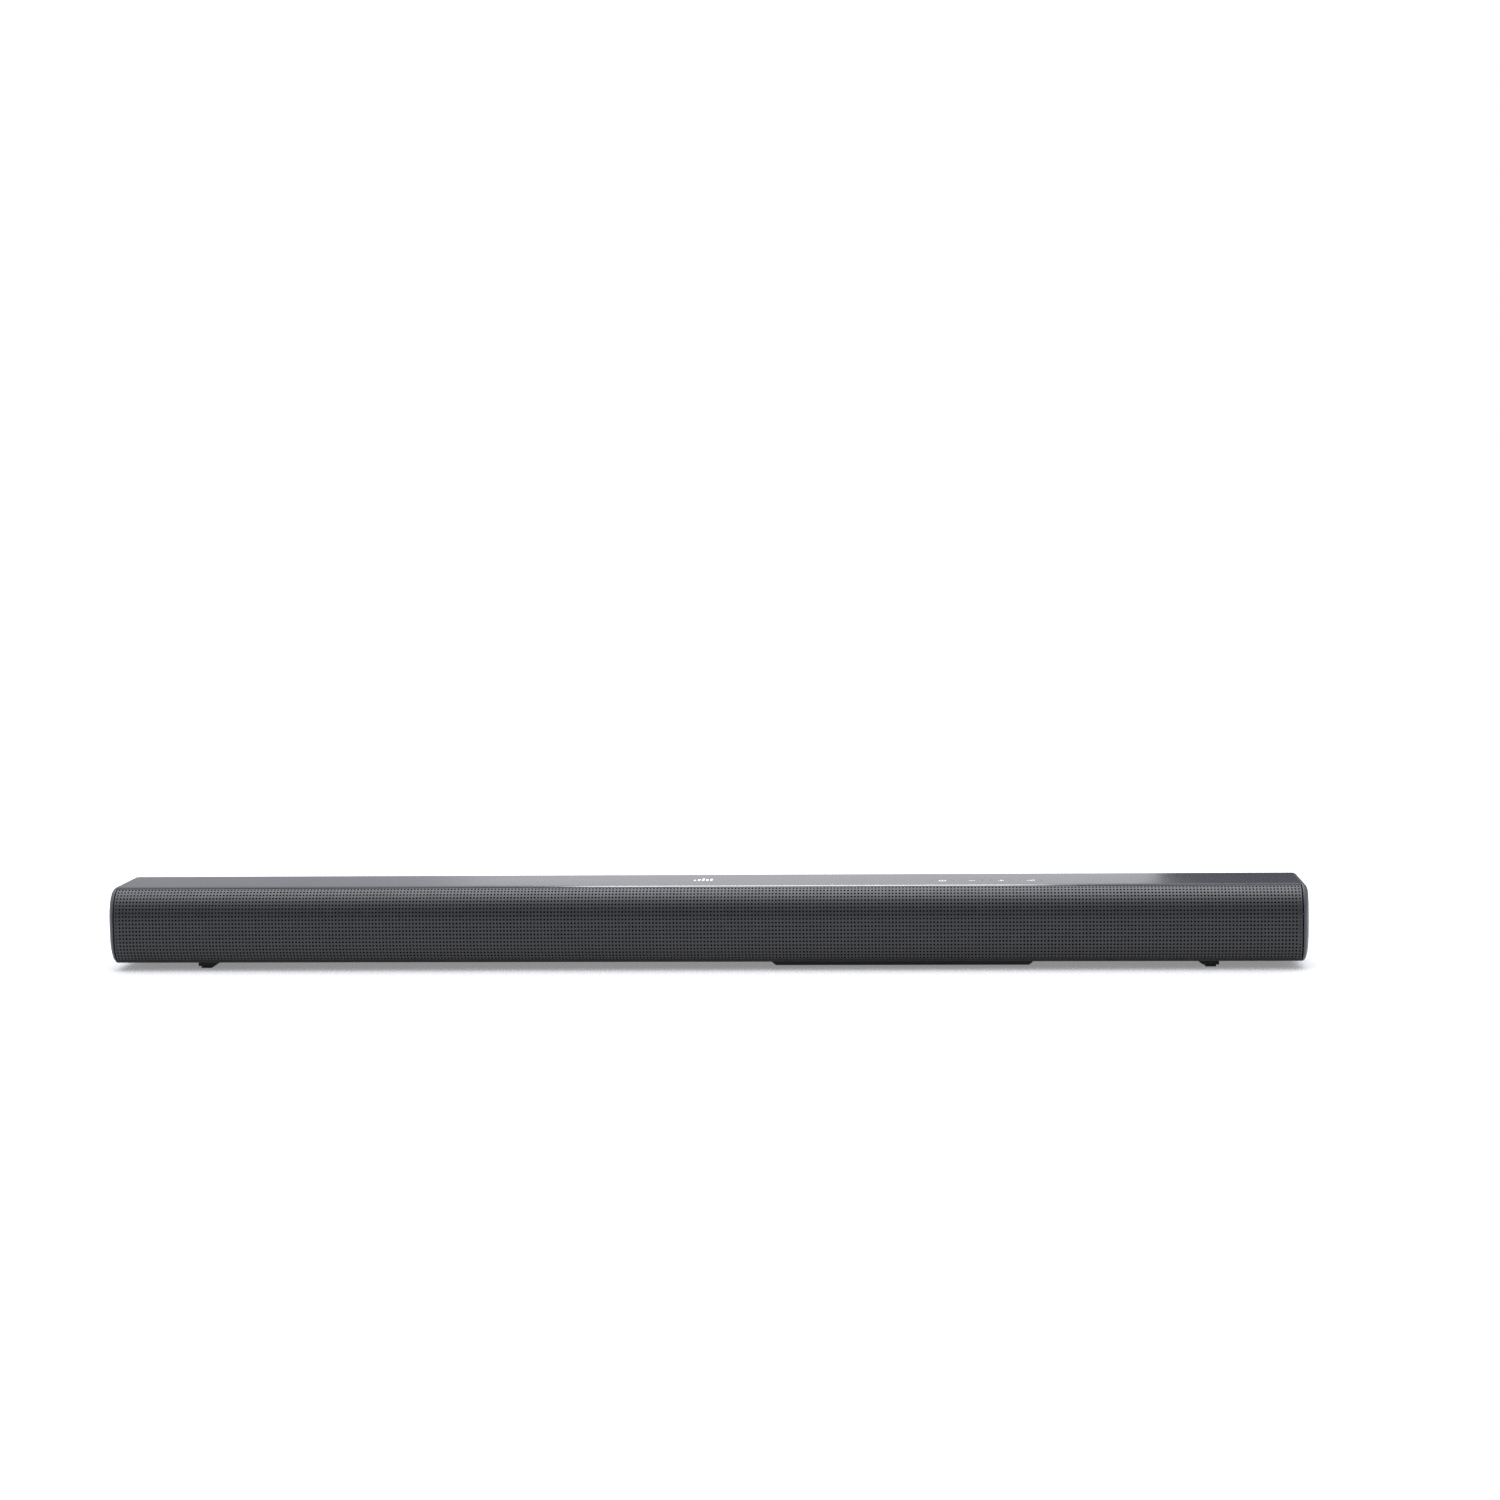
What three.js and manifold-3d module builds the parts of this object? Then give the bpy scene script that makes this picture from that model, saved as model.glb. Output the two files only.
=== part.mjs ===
// A soundbar: one long cabinet with four racetrack woofers and two tweeters behind a wrapped
// steel grille, four push buttons in its top cover and a cable recess in its back.
//
// Millimetres. X runs along the bar, the grille faces -Y, +Z is up, and the origin lies on the
// surface that the feet stand on, under the middle of the bar. The pieces are drawn from a datum
// a little in front of that middle, and the whole group moves back to it at the end.

import * as THREE from 'three';
import { mergeVertices } from 'three/addons/utils/BufferGeometryUtils.js';
import Module from 'manifold-3d';

const wasm = await Module();
wasm.setup();

// ---------------------------------------------------------------- driving dimensions

const LENGTH = 900; // over the end caps
const DEPTH = 72; // from the grille to the back wall
const HEIGHT = 63; // from the surface to the top cover
const GROUND_GAP = 5.4; // under the cabinet's floor, on its feet
const GAP = 0.3; // between neighbouring pieces
const WALL = 2.5; // moulded cabinet wall

const BROW = { depth: 18.5, drop: 24.5 }; // curve from the top cover down to the front
const CHIN = { depth: 13, drop: 18.5 }; // curve from the front under to the floor
const HEEL = 4; // radius between the floor and the back wall
const PANEL_TOP = 11; // top edge of the bottom panel, where the back wall starts
const RIM = 2.5; // radius between the top cover and the back wall

const GRILLE = { thickness: 0.8, from: 108.2, to: 234.8 }; // arc angles of its edges, in degrees
const CLOTH = { behind: 1.1, thickness: 0.4, from: 112, to: 231.5 };
const SEAM_TURN = { brow: 0.9, chin: 1.2 }; // the gap beyond each grille edge, as an arc angle
const END_CAP = { thickness: 4.8, front: 12, top: 7, bottom: 11, back: 7 }; // insets of its face
const COVER_UNDERSIDE = HEIGHT - RIM;
const BAFFLE = { front: -24, back: -21, bottom: 9.3, top: 57.2, flangeBack: -8, flangeDrop: 2.4 };
const PARTITION_X = 204; // walls between the middle bay and the two speaker chambers

const WOOFER = { x: [254, 350], z: 33.2, flange: [46, 22], opening: [42, 20] };
const TWEETER = { x: 418, flange: 17.5, opening: 13 };
const STROKE_CLEAR = 1.5; // room each cone keeps in front and behind

const BUTTON = { x: [181, 203, 225, 247], y: 0.5, size: [16, 11], corner: 3 };
const SWITCH = { size: 6.2, base: 53.9, top: 57.2, bore: 2, boreFloor: 55.5 };

const BOARD = { z: 20, thickness: 1.6, y: [-17, 17] };
const MAIN_BOARD = [97, 200]; // along X
const POWER_BOARD = [-45, 92];
const RECESS = { x: [62, 188], z: [14, 40], floor: 24, wall: 1.5 };
const SERVICE = { x: [53, 248], y: [-20, 30], opening: [[66, -11], [236, 11]], bottom: 2.1 };

const FOOT = { x: [368.8, 385.5], y: [-14, 27], padTop: 1.2, slope: 4.7 };
const BRACKET = { x: 300, z: 42, head: 4.2, shank: 2, boss: 6.5, sink: 3 };
const LEAD_RADIUS = 1.5;

// ---------------------------------------------------------------- positions worked out

const FRONT = -33.5; // of the grille, from the datum
const BACK = FRONT + DEPTH;
const FOOT_TOP = GROUND_GAP - GAP;
const FLOOR = GROUND_GAP + WALL; // upper face of the cabinet's floor
const CAP_SEAM = LENGTH / 2 - END_CAP.thickness; // inner face of each end cap
const SHELL_END = CAP_SEAM - GAP; // end of the pieces between the caps
const BOARD_TOP = BOARD.z + BOARD.thickness;
const SOCKET_BASE = BOARD_TOP + GAP;
const SOCKET_MOUTH = RECESS.floor + RECESS.wall;

// ---------------------------------------------------------------- finishes

const FINISH = {
  cabinet: { color: 0x2b2c30, roughness: 0.62, metalness: 0 },
  cover: { color: 0x55575f, roughness: 0.36, metalness: 0.15 },
  cap: { color: 0x3b3c42, roughness: 0.45, metalness: 0 },
  grille: { color: 0x3e4044, roughness: 0.48, metalness: 0.35 },
  cloth: { color: 0x101012, roughness: 0.95, metalness: 0 },
  rubber: { color: 0x141415, roughness: 0.9, metalness: 0 },
  cone: { color: 0x1d1d1f, roughness: 0.85, metalness: 0 },
  basket: { color: 0x232326, roughness: 0.55, metalness: 0.4 },
  ferrite: { color: 0x3a3a3d, roughness: 0.5, metalness: 0.6 },
  laminate: { color: 0x1c5a38, roughness: 0.5, metalness: 0 },
  aluminium: { color: 0x9a9ca0, roughness: 0.4, metalness: 0.9 },
  socket: { color: 0x17171a, roughness: 0.5, metalness: 0 },
  plate: { color: 0xb4b6ba, roughness: 0.3, metalness: 0.9 },
  copper: { color: 0x8a5a2c, roughness: 0.5, metalness: 0.3 },
  sleeve: { color: 0x202a4c, roughness: 0.45, metalness: 0 },
  lead: { color: 0x5a1a1a, roughness: 0.6, metalness: 0 },
};

// ---------------------------------------------------------------- solids

/** Shared corners, no zero-area triangles, and positions only. */
function weld(geometry) {
  const bare = geometry.clone();
  bare.deleteAttribute('normal');
  bare.deleteAttribute('uv');
  const merged = mergeVertices(bare, 1e-4);
  const kept = [];
  for (let t = 0; t < merged.index.count; t += 3) {
    const [a, b, c] = [0, 1, 2].map((k) => merged.index.getX(t + k));
    if (a !== b && b !== c && c !== a) kept.push(a, b, c);
  }
  merged.setIndex(kept);
  return merged;
}

function toSolid(geometry) {
  const { attributes, index } = weld(geometry);
  const vertProperties = new Float32Array(attributes.position.array);
  const triVerts = new Uint32Array(index.array);
  return new wasm.Manifold(new wasm.Mesh({ numProp: 3, vertProperties, triVerts }));
}

function toGeometry(solid) {
  const { vertProperties, triVerts } = solid.getMesh();
  const geometry = new THREE.BufferGeometry();
  geometry.setAttribute('position', new THREE.BufferAttribute(vertProperties, 3));
  geometry.setIndex(new THREE.BufferAttribute(triVerts, 1));
  return geometry;
}

function cut(base, ...tools) {
  return toGeometry(tools.reduce((solid, tool) => solid.subtract(toSolid(tool)), toSolid(base)));
}

function join(base, ...others) {
  return toGeometry(others.reduce((solid, other) => solid.add(toSolid(other)), toSolid(base)));
}

function block([x0, y0, z0], [x1, y1, z1]) {
  const geometry = new THREE.BoxGeometry(x1 - x0, y1 - y0, z1 - z0);
  return geometry.translate((x0 + x1) / 2, (y0 + y1) / 2, (z0 + z1) / 2);
}

function rodY(radius, [x, z], [y0, y1], sides = 20) {
  const rod = new THREE.CylinderGeometry(radius, radius, y1 - y0, sides);
  return rod.translate(x, (y0 + y1) / 2, z);
}

function rodZ(radius, [x, y], [z0, z1], sides = 16) {
  const rod = new THREE.CylinderGeometry(radius, radius, z1 - z0, sides);
  return rod.rotateX(Math.PI / 2).translate(x, y, (z0 + z1) / 2);
}

/** Carries an outline from x0 to x1; its points are (y, z). */
function extrudeX(outline, x0, x1) {
  const shape = new THREE.Shape(outline);
  const solid = new THREE.ExtrudeGeometry(shape, { depth: x1 - x0, bevelEnabled: false });
  return solid.applyMatrix4(new THREE.Matrix4().set(0, 0, 1, x0, 1, 0, 0, 0, 0, 1, 0, 0, 0, 0, 0, 1));
}

/** Carries an outline from y0 to y1; its points are (x, z). */
function extrudeY(outline, y0, y1) {
  const shape = new THREE.Shape(outline);
  const solid = new THREE.ExtrudeGeometry(shape, { depth: y1 - y0, bevelEnabled: false });
  return solid.applyMatrix4(new THREE.Matrix4().set(1, 0, 0, 0, 0, 0, -1, y1, 0, 1, 0, 0, 0, 0, 0, 1));
}

/** Carries an outline from z0 to z1; its points are (x, y). */
function extrudeZ(outline, z0, z1) {
  const shape = new THREE.Shape(outline);
  const solid = new THREE.ExtrudeGeometry(shape, { depth: z1 - z0, bevelEnabled: false });
  return solid.translate(0, 0, z0);
}

function volumeOf(positions, index) {
  const corner = (i) => new THREE.Vector3().fromArray(positions, 3 * index[i]);
  let volume = 0;
  for (let t = 0; t < index.length; t += 3) {
    volume += corner(t).dot(corner(t + 1).cross(corner(t + 2))) / 6;
  }
  return volume;
}

/** Skins convex rings of equally many points; a closed loft joins its last ring to its first. */
function loft(rings, closed = false) {
  const count = rings[0].length;
  const positions = rings.flat(2);
  const index = [];
  for (let r = 0; r < rings.length - (closed ? 0 : 1); r += 1) {
    const here = r * count;
    const next = ((r + 1) % rings.length) * count;
    for (let i = 0; i < count; i += 1) {
      const j = (i + 1) % count;
      index.push(here + i, next + i, here + j, here + j, next + i, next + j);
    }
  }
  const end = (rings.length - 1) * count;
  for (let i = 1; i < count - 1 && !closed; i += 1) {
    index.push(0, i, i + 1, end, end + i + 1, end + i);
  }
  if (volumeOf(positions, index) < 0) index.reverse();
  const geometry = new THREE.BufferGeometry();
  geometry.setAttribute('position', new THREE.Float32BufferAttribute(positions, 3));
  geometry.setIndex(index);
  return geometry;
}

// ---------------------------------------------------------------- outlines

function arc(cy, cz, ry, rz, from, to, steps) {
  return Array.from({ length: steps + 1 }, (_, i) => {
    const angle = THREE.MathUtils.degToRad(from + ((to - from) * i) / steps);
    return new THREE.Vector2(cy + ry * Math.cos(angle), cz + rz * Math.sin(angle));
  });
}

function roundedRect([cx, cy], [width, height], radius, steps = 3) {
  const [dx, dy] = [width / 2 - radius, height / 2 - radius];
  const corners = [[1, 1, 0], [-1, 1, 90], [-1, -1, 180], [1, -1, 270]];
  return corners.flatMap(([sx, sy, from]) =>
    arc(cx + sx * dx, cy + sy * dy, radius, radius, from, from + 90, steps));
}

/** Centre and radii of the brow and chin curves, for a skin that lies `inset` inside the body. */
function noseCurves(inset) {
  return {
    brow: [FRONT + BROW.depth, HEIGHT - BROW.drop, BROW.depth - inset, BROW.drop - inset],
    chin: [FRONT + CHIN.depth, GROUND_GAP + CHIN.drop, CHIN.depth - inset, CHIN.drop - inset],
  };
}

/** The bar's cross-section in (y, z), pulled in by a different amount on each side. */
function bodyOutline({ front = 0, top = 0, bottom = 0, back = 0 } = {}) {
  const [y0, y1] = [FRONT + front, BACK - back];
  const [z0, z1] = [GROUND_GAP + bottom, HEIGHT - top];
  const brow = [BROW.depth - front, BROW.drop - top];
  const chin = [Math.max(CHIN.depth - front / 3, 2), Math.max(CHIN.drop - bottom / 3, 2)];
  return [
    ...arc(y0 + brow[0], z1 - brow[1], ...brow, 90, 180, 12),
    ...arc(y0 + chin[0], z0 + chin[1], ...chin, 180, 270, 8),
    ...arc(y1 - HEEL, z0 + HEEL, HEEL, HEEL, 270, 360, 3),
    ...arc(y1 - RIM, z1 - RIM, RIM, RIM, 0, 90, 3),
  ];
}

/** A sheet that follows the bar's nose, between two arc angles, in (y, z). */
function noseSheet(inset, thickness, from, to) {
  const side = (depth) => {
    const { brow, chin } = noseCurves(depth);
    return [...arc(...brow, from, 180, 12), ...arc(...chin, 180, to, 7)];
  };
  return [...side(inset), ...side(inset + thickness).reverse()];
}

/** A racetrack ring in the plane y; it takes no point where its round ends meet its sides. */
function racetrack([halfLength, halfHeight], y, [cx, cz]) {
  const straight = halfLength - halfHeight;
  const end = (side, from) => arc(
    cx + side * straight, cz, halfHeight, halfHeight, from, from + 156, 6);
  return [...end(1, -78), ...end(-1, 102)].map(({ x, y: z }) => [x, y, z]);
}

// ---------------------------------------------------------------- assembly

const soundbar = new THREE.Group();

function add(name, geometry, finish) {
  const mesh = new THREE.Mesh(weld(geometry), new THREE.MeshStandardMaterial(finish));
  mesh.name = name;
  soundbar.add(mesh);
}

// ---------------------------------------------------------------- casing

/** Floor that turns up at the chin and at the heel, with the posts that carry both boards. */
function bottomPanel() {
  const { chin } = noseCurves(0);
  const inner = noseCurves(WALL).chin;
  const lip = GRILLE.to + SEAM_TURN.chin;
  const panel = extrudeX([
    ...arc(...chin, lip, 270, 3),
    ...arc(BACK - HEEL, GROUND_GAP + HEEL, HEEL, HEEL, 270, 360, 4),
    new THREE.Vector2(BACK, PANEL_TOP),
    new THREE.Vector2(BACK - WALL, PANEL_TOP),
    ...arc(BACK - HEEL, GROUND_GAP + HEEL, HEEL - WALL, HEEL - WALL, 360, 270, 2),
    ...arc(...inner, 270, lip, 3),
  ], -SHELL_END, SHELL_END);
  const posts = [MAIN_BOARD, POWER_BOARD].flatMap(([x0, x1]) =>
    [x0 + 4, x1 - 4].flatMap((x) =>
      [-14.5, 14.5].map((y) => rodZ(2.5, [x, y], [FLOOR - 1, BOARD.z - GAP], 10))));
  const [[ox0, oy0], [ox1, oy1]] = SERVICE.opening;
  return cut(join(panel, ...posts), block([ox0, oy0, GROUND_GAP - 1], [ox1, oy1, FLOOR + 1]));
}

/** Wall between two bays, notched for what crosses it and for the bottom panel's heel. */
function partition(x) {
  const wall = block(
    [x - 1, BAFFLE.back + GAP, FLOOR + GAP], [x + 1, BACK - 1, COVER_UNDERSIDE - 2 * GAP]);
  const heelNotch = block([x - 2, BACK - HEEL - 0.5, FLOOR], [x + 2, BACK, PANEL_TOP + GAP]);
  const leadNotch = block([x - 2, 24.5, FLOOR], [x + 2, 29.5, 14.5]);
  const flangeNotch = block(
    [x - 2, BAFFLE.back, BAFFLE.top - BAFFLE.flangeDrop - GAP],
    [x + 2, BAFFLE.flangeBack + GAP, HEIGHT]);
  const boardNotch = block([x - 2, BAFFLE.flangeBack, 51.4], [x + 2, 10.5, HEIGHT]);
  return cut(wall, heelNotch, leadNotch, flangeNotch, boardNotch);
}

/** Back wall with the two partitions and the bosses for the bracket screws. */
function rearCabinet() {
  const wall = block(
    [-SHELL_END, BACK - WALL, PANEL_TOP + GAP], [SHELL_END, BACK, COVER_UNDERSIDE - GAP]);
  const bosses = [-BRACKET.x, BRACKET.x].map((x) =>
    rodY(BRACKET.boss, [x, BRACKET.z], [BACK - WALL - 8, BACK - 1], 16));
  const body = join(wall, partition(-PARTITION_X), partition(PARTITION_X), ...bosses);
  const screwHoles = [-BRACKET.x, BRACKET.x].flatMap((x) => [
    rodY(BRACKET.shank + GAP, [x, BRACKET.z], [BACK - WALL - 7, BACK], 12),
    rodY(BRACKET.head + GAP, [x, BRACKET.z], [BACK - BRACKET.sink, BACK + 1], 18),
  ]);
  return cut(
    body,
    ...screwHoles,
    block([RECESS.x[0], BACK - WALL - 1, RECESS.z[0]], [RECESS.x[1], BACK + 1, RECESS.z[1]]));
}

/** Plate that carries the speakers, with a flange along its top edge. */
function frontBaffle() {
  const plate = block(
    [-SHELL_END, BAFFLE.front, BAFFLE.bottom], [SHELL_END, BAFFLE.back, BAFFLE.top]);
  const flange = block(
    [-SHELL_END, BAFFLE.front, BAFFLE.top - BAFFLE.flangeDrop],
    [SHELL_END, BAFFLE.flangeBack, BAFFLE.top]);
  const openings = [-1, 1].flatMap((side) => [
    ...WOOFER.x.map((x) => loft([BAFFLE.front - 1, BAFFLE.back + 1].map((y) =>
      racetrack(WOOFER.opening, y, [side * x, WOOFER.z])))),
    rodY(TWEETER.opening, [side * TWEETER.x, WOOFER.z], [BAFFLE.front - 1, BAFFLE.back + 1]),
  ]);
  return cut(join(plate, flange), ...openings);
}

/** Flat top that turns down over the brow as far as the grille, with the key holes. */
function topCover() {
  const edge = GRILLE.from - SEAM_TURN.brow;
  const slab = extrudeX([
    ...arc(...noseCurves(RIM).brow, edge, 90, 4),
    ...arc(BACK - RIM, HEIGHT - RIM, RIM, RIM, 0, 90, 5),
    ...arc(...noseCurves(0).brow, 90, edge, 6),
  ], -SHELL_END, SHELL_END);
  const boardPosts = [165, 263].map((x) =>
    rodZ(2.5, [x, BUTTON.y], [SWITCH.base, COVER_UNDERSIDE + 1], 10));
  const keyHoles = BUTTON.x.map((x) => extrudeZ(
    roundedRect([x, BUTTON.y], BUTTON.size.map((s) => s + 2 * GAP), BUTTON.corner + GAP),
    COVER_UNDERSIDE - 1, HEIGHT + 1));
  return cut(join(slab, ...boardPosts), ...keyHoles);
}

/** One end of the bar: a pillowed face outside and a hollow plug that locates it inside. */
function endCap(side) {
  const steps = 6;
  const rings = Array.from({ length: steps + 1 }, (_, i) => {
    const turn = (Math.PI / 2) * (i / steps);
    const pull = 1 - Math.cos(turn);
    const inset = Object.fromEntries(
      ['front', 'top', 'bottom', 'back'].map((edge) => [edge, END_CAP[edge] * pull]));
    const x = side * (CAP_SEAM + END_CAP.thickness * Math.sin(turn));
    return bodyOutline(inset).map(({ x: y, y: z }) => [x, y, z]);
  });
  const across = (x0, x1) => [Math.min(side * x0, side * x1), Math.max(side * x0, side * x1)];
  const [p0, p1] = across(CAP_SEAM - 4, CAP_SEAM + 0.5);
  const [h0, h1] = across(CAP_SEAM - 5, CAP_SEAM + 1);
  return cut(
    join(loft(rings), block([p0, -17.5, 12], [p1, 28, 54])),
    block([h0, -15, 14.5], [h1, 25.5, 51.5]));
}

/** Shallow tray under the electronics, with sloping ends and a rim that enters the floor. */
function electronicsCover() {
  const [x0, x1] = SERVICE.x;
  const [y0, y1] = SERVICE.y;
  const top = GROUND_GAP - GAP;
  const slope = top - SERVICE.bottom;
  const tray = loft([[top, 0], [SERVICE.bottom, slope]].map(([z, pull]) => [
    [x0 + pull, y0 + pull, z], [x1 - pull, y0 + pull, z],
    [x1 - pull, y1 - pull, z], [x0 + pull, y1 - pull, z],
  ]));
  const [[ox0, oy0], [ox1, oy1]] = SERVICE.opening;
  const rim = block([ox0 + GAP, oy0 + GAP, top - 1], [ox1 - GAP, oy1 - GAP, FLOOR]);
  const pocket = block([ox0 + 2, oy0 + 2, SERVICE.bottom + 1.4], [ox1 - 2, oy1 - 2, 9]);
  return cut(join(tray, rim), pocket);
}

add('rear_cabinet', rearCabinet(), FINISH.cabinet);
add('bottom_panel', bottomPanel(), FINISH.cabinet);
add('front_baffle', frontBaffle(), FINISH.cabinet);
add('top_cover', topCover(), FINISH.cover);
add('left_end_cap', endCap(-1), FINISH.cap);
add('right_end_cap', endCap(1), FINISH.cap);
add('electronics_cover', electronicsCover(), FINISH.cabinet);
add('front_grille', extrudeX(
  noseSheet(0, GRILLE.thickness, GRILLE.from, GRILLE.to), -SHELL_END, SHELL_END), FINISH.grille);
add('acoustic_cloth', extrudeX(
  noseSheet(CLOTH.behind, CLOTH.thickness, CLOTH.from, CLOTH.to),
  -SHELL_END + 1, SHELL_END - 1), FINISH.cloth);

// ---------------------------------------------------------------- feet

/** Foot outline in (x, z) on the +X side: upright outside, sloping inside. */
function footOutline(side) {
  const [inner, outer] = FOOT.x;
  return [
    [inner, FOOT_TOP], [outer, FOOT_TOP], [outer, FOOT.padTop + GAP],
    [inner + FOOT.slope, FOOT.padTop + GAP],
  ].map(([x, z]) => new THREE.Vector2(side * x, z));
}

for (const [hand, side] of [['left', -1], ['right', 1]]) {
  const [inner, outer] = [side * (FOOT.x[0] + 6.6), side * (FOOT.x[1] - 2.2)];
  const [x0, x1] = [Math.min(inner, outer), Math.max(inner, outer)];
  const spigot = [[x0 + 2, -6, 0.6], [x1 - 2, 19, 3.2]];
  const socket = spigot.map((corner, i) => corner.map((value) => value + (i ? GAP : -GAP)));
  add(`${hand}_foot`, cut(extrudeY(footOutline(side), ...FOOT.y), block(...socket)), FINISH.rubber);
  add(`${hand}_foot_pad`, join(
    block([x0, FOOT.y[0], 0], [x1, FOOT.y[1], FOOT.padTop]), block(...spigot)), FINISH.rubber);
}

// ---------------------------------------------------------------- buttons

function buttonKey(x) {
  const at = [x, BUTTON.y];
  const cap = extrudeZ(roundedRect(at, BUTTON.size, BUTTON.corner), 59.6, HEIGHT);
  const flange = extrudeZ(
    roundedRect(at, BUTTON.size.map((s) => s + 2.6), BUTTON.corner + 1), 59.1,
    COVER_UNDERSIDE - GAP);
  return join(cap, flange, rodZ(2, at, [SWITCH.top + 1.3, 59.5], 12));
}

function switchBody(x) {
  const half = SWITCH.size / 2;
  const body = block(
    [x - half, BUTTON.y - half, SWITCH.base], [x + half, BUTTON.y + half, SWITCH.top]);
  return cut(body, rodZ(SWITCH.bore, [x, BUTTON.y], [SWITCH.boreFloor, SWITCH.top + 1], 12));
}

const BUTTON_NAMES = ['power', 'volume_down', 'volume_up', 'source'];
BUTTON_NAMES.forEach((name, i) => {
  const x = BUTTON.x[i];
  const plunger = [SWITCH.boreFloor + 0.6, SWITCH.top + 1];
  add(`${name}_button`, buttonKey(x), FINISH.cover);
  add(`${name}_plunger`, rodZ(1.6, [x, BUTTON.y], plunger, 12), FINISH.socket);
  add(`${name}_switch`, switchBody(x), FINISH.socket);
});
add('button_board', block(
  [158, -7.5, SWITCH.base - GAP - BOARD.thickness], [270, 9, SWITCH.base - GAP]), FINISH.laminate);

// ---------------------------------------------------------------- speakers

/** Turns [half length, half height, y] rows into racetrack rings round one speaker's axis. */
function rings(rows, centre) {
  return rows.map(([a, b, y]) => racetrack([a, b], y, centre));
}

/** Flange, sloping basket wall and rear plate with a hole for the voice coil. */
function wooferFrame(centre) {
  const [a, b] = WOOFER.flange;
  return loft(rings([
    [a, b, -26], [a, b, -24.3], [41, 19, -24.3], [38, 17.5, -12], [24, 15, -3.2],
    [10.2, 10.2, -3.2], [10.2, 10.2, -5], [22.5, 13.6, -5], [36.6, 16.1, -12.6],
    [39.6, 17.6, -24.8], [43, 20.5, -24.8], [43, 20.5, -26],
  ], centre), true);
}

/** Half-roll edge between the frame's shelf and the cone. */
function wooferSurround(centre) {
  return loft(rings([
    [42.6, 20.1, -25.9], [40.4, 17.9, -26.1], [38.3, 16, -28.4], [36.4, 14.3, -26.1],
    [35.6, 13.6, -25.9], [35.6, 13.6, -25.1], [36.7, 14.6, -25.3], [38.3, 16, -27.4],
    [40.1, 17.6, -25.3], [42.6, 20.1, -25.1],
  ], centre), true);
}

/** Dust cap, cone and voice coil former in one thin shell, open at the back. */
function wooferCone(centre) {
  return loft(rings([
    [2.2, 2.2, -20.6], [6, 6, -19.8], [9.4, 9.2, -17.6], [35.2, 13.2, -25.9],
    [35.2, 13.2, -25.1], [9.9, 9.7, -16.6], [8.8, 8.8, -16], [8.8, 8.8, -4.4 - STROKE_CLEAR],
    [8, 8, -4.4 - STROKE_CLEAR], [8, 8, -16.8], [5.6, 5.6, -18.9], [2.2, 2.2, -19.7],
  ], centre));
}

function wooferMagnet([x, z]) {
  const profile = [
    [0, -2.9], [15, -2.9], [15, -0.4], [17, -0.4], [17, 7.8], [15.5, 7.8], [15.5, 11.1], [0, 11.1],
  ];
  const points = profile.map(([r, y]) => new THREE.Vector2(r, y));
  return new THREE.LatheGeometry(points, 16).translate(x, 0, z);
}

function tweeter([x, z]) {
  const profile = [
    [0, -25.2], [4.5, -24.7], [8.6, -23], [9.4, -23], [15, -25.6], [TWEETER.flange, -26],
    [TWEETER.flange, -24.3], [12.5, -24.3], [12.5, -9], [14, -9], [14, -2], [0, -2],
  ];
  const points = profile.map(([r, y]) => new THREE.Vector2(r, y));
  return new THREE.LatheGeometry(points, 20).translate(x, 0, z);
}

for (const [hand, side] of [['left', -1], ['right', 1]]) {
  ['inner', 'outer'].forEach((place, i) => {
    const centre = [side * WOOFER.x[i], WOOFER.z];
    const name = `${hand}_${place}_woofer`;
    add(`${name}_frame`, wooferFrame(centre), FINISH.basket);
    add(`${name}_surround`, wooferSurround(centre), FINISH.rubber);
    add(`${name}_cone`, wooferCone(centre), FINISH.cone);
    add(`${name}_magnet`, wooferMagnet(centre), FINISH.ferrite);
  });
  add(`${hand}_tweeter`, tweeter([side * TWEETER.x, WOOFER.z]), FINISH.basket);
}

// ---------------------------------------------------------------- electronics

function board([x0, x1]) {
  return block([x0, BOARD.y[0], BOARD.z], [x1, BOARD.y[1], BOARD_TOP]);
}

/** Base plate with upright fins across it. */
function heatSink() {
  const [x0, x1] = [118, 188];
  const fins = Array.from({ length: 9 }, (_, i) => {
    const x = x0 + 1 + i * ((x1 - x0 - 2) / 8);
    return block([x - 0.8, -15, SOCKET_BASE + 2], [x + 0.8, 1, 40]);
  });
  return join(block([x0, -15, SOCKET_BASE], [x1, 1, SOCKET_BASE + 3]), ...fins);
}

/** Ferrite core with the winding standing out of both faces. */
function powerTransformer() {
  return join(
    block([-4, -12, SOCKET_BASE], [30, 12, SOCKET_BASE + 24]),
    block([1, -15, SOCKET_BASE + 3], [25, 15, SOCKET_BASE + 21]));
}

/** A socket housing whose opening faces the back; `mouth` is cut to `depth`. */
function socket(x, [width, height], length, mouth, depth) {
  const housing = block(
    [x - width / 2, SOCKET_MOUTH - length, SOCKET_BASE],
    [x + width / 2, SOCKET_MOUTH, SOCKET_BASE + height]);
  return cut(housing, extrudeY(mouth, SOCKET_MOUTH - depth, SOCKET_MOUTH + 1));
}

const SOCKETS = {
  power: { x: 78, size: [22, 14], length: 24, mouth: [17, 9.6], corner: 4, depth: 14 },
  optical: { x: 110, size: [11.6, 11], length: 15, mouth: [9, 9], corner: 0.4, depth: 11 },
  video: { x: 136, size: [17, 7.4], length: 12.5, mouth: [14.8, 5.2], corner: 0.8, depth: 10 },
  service: { x: 164, size: [14.6, 7.2], length: 14.5, mouth: [12.6, 5.2], corner: 0.4, depth: 12 },
};

function socketMiddle({ x, size }) {
  return [x, SOCKET_BASE + size[1] / 2];
}

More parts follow.
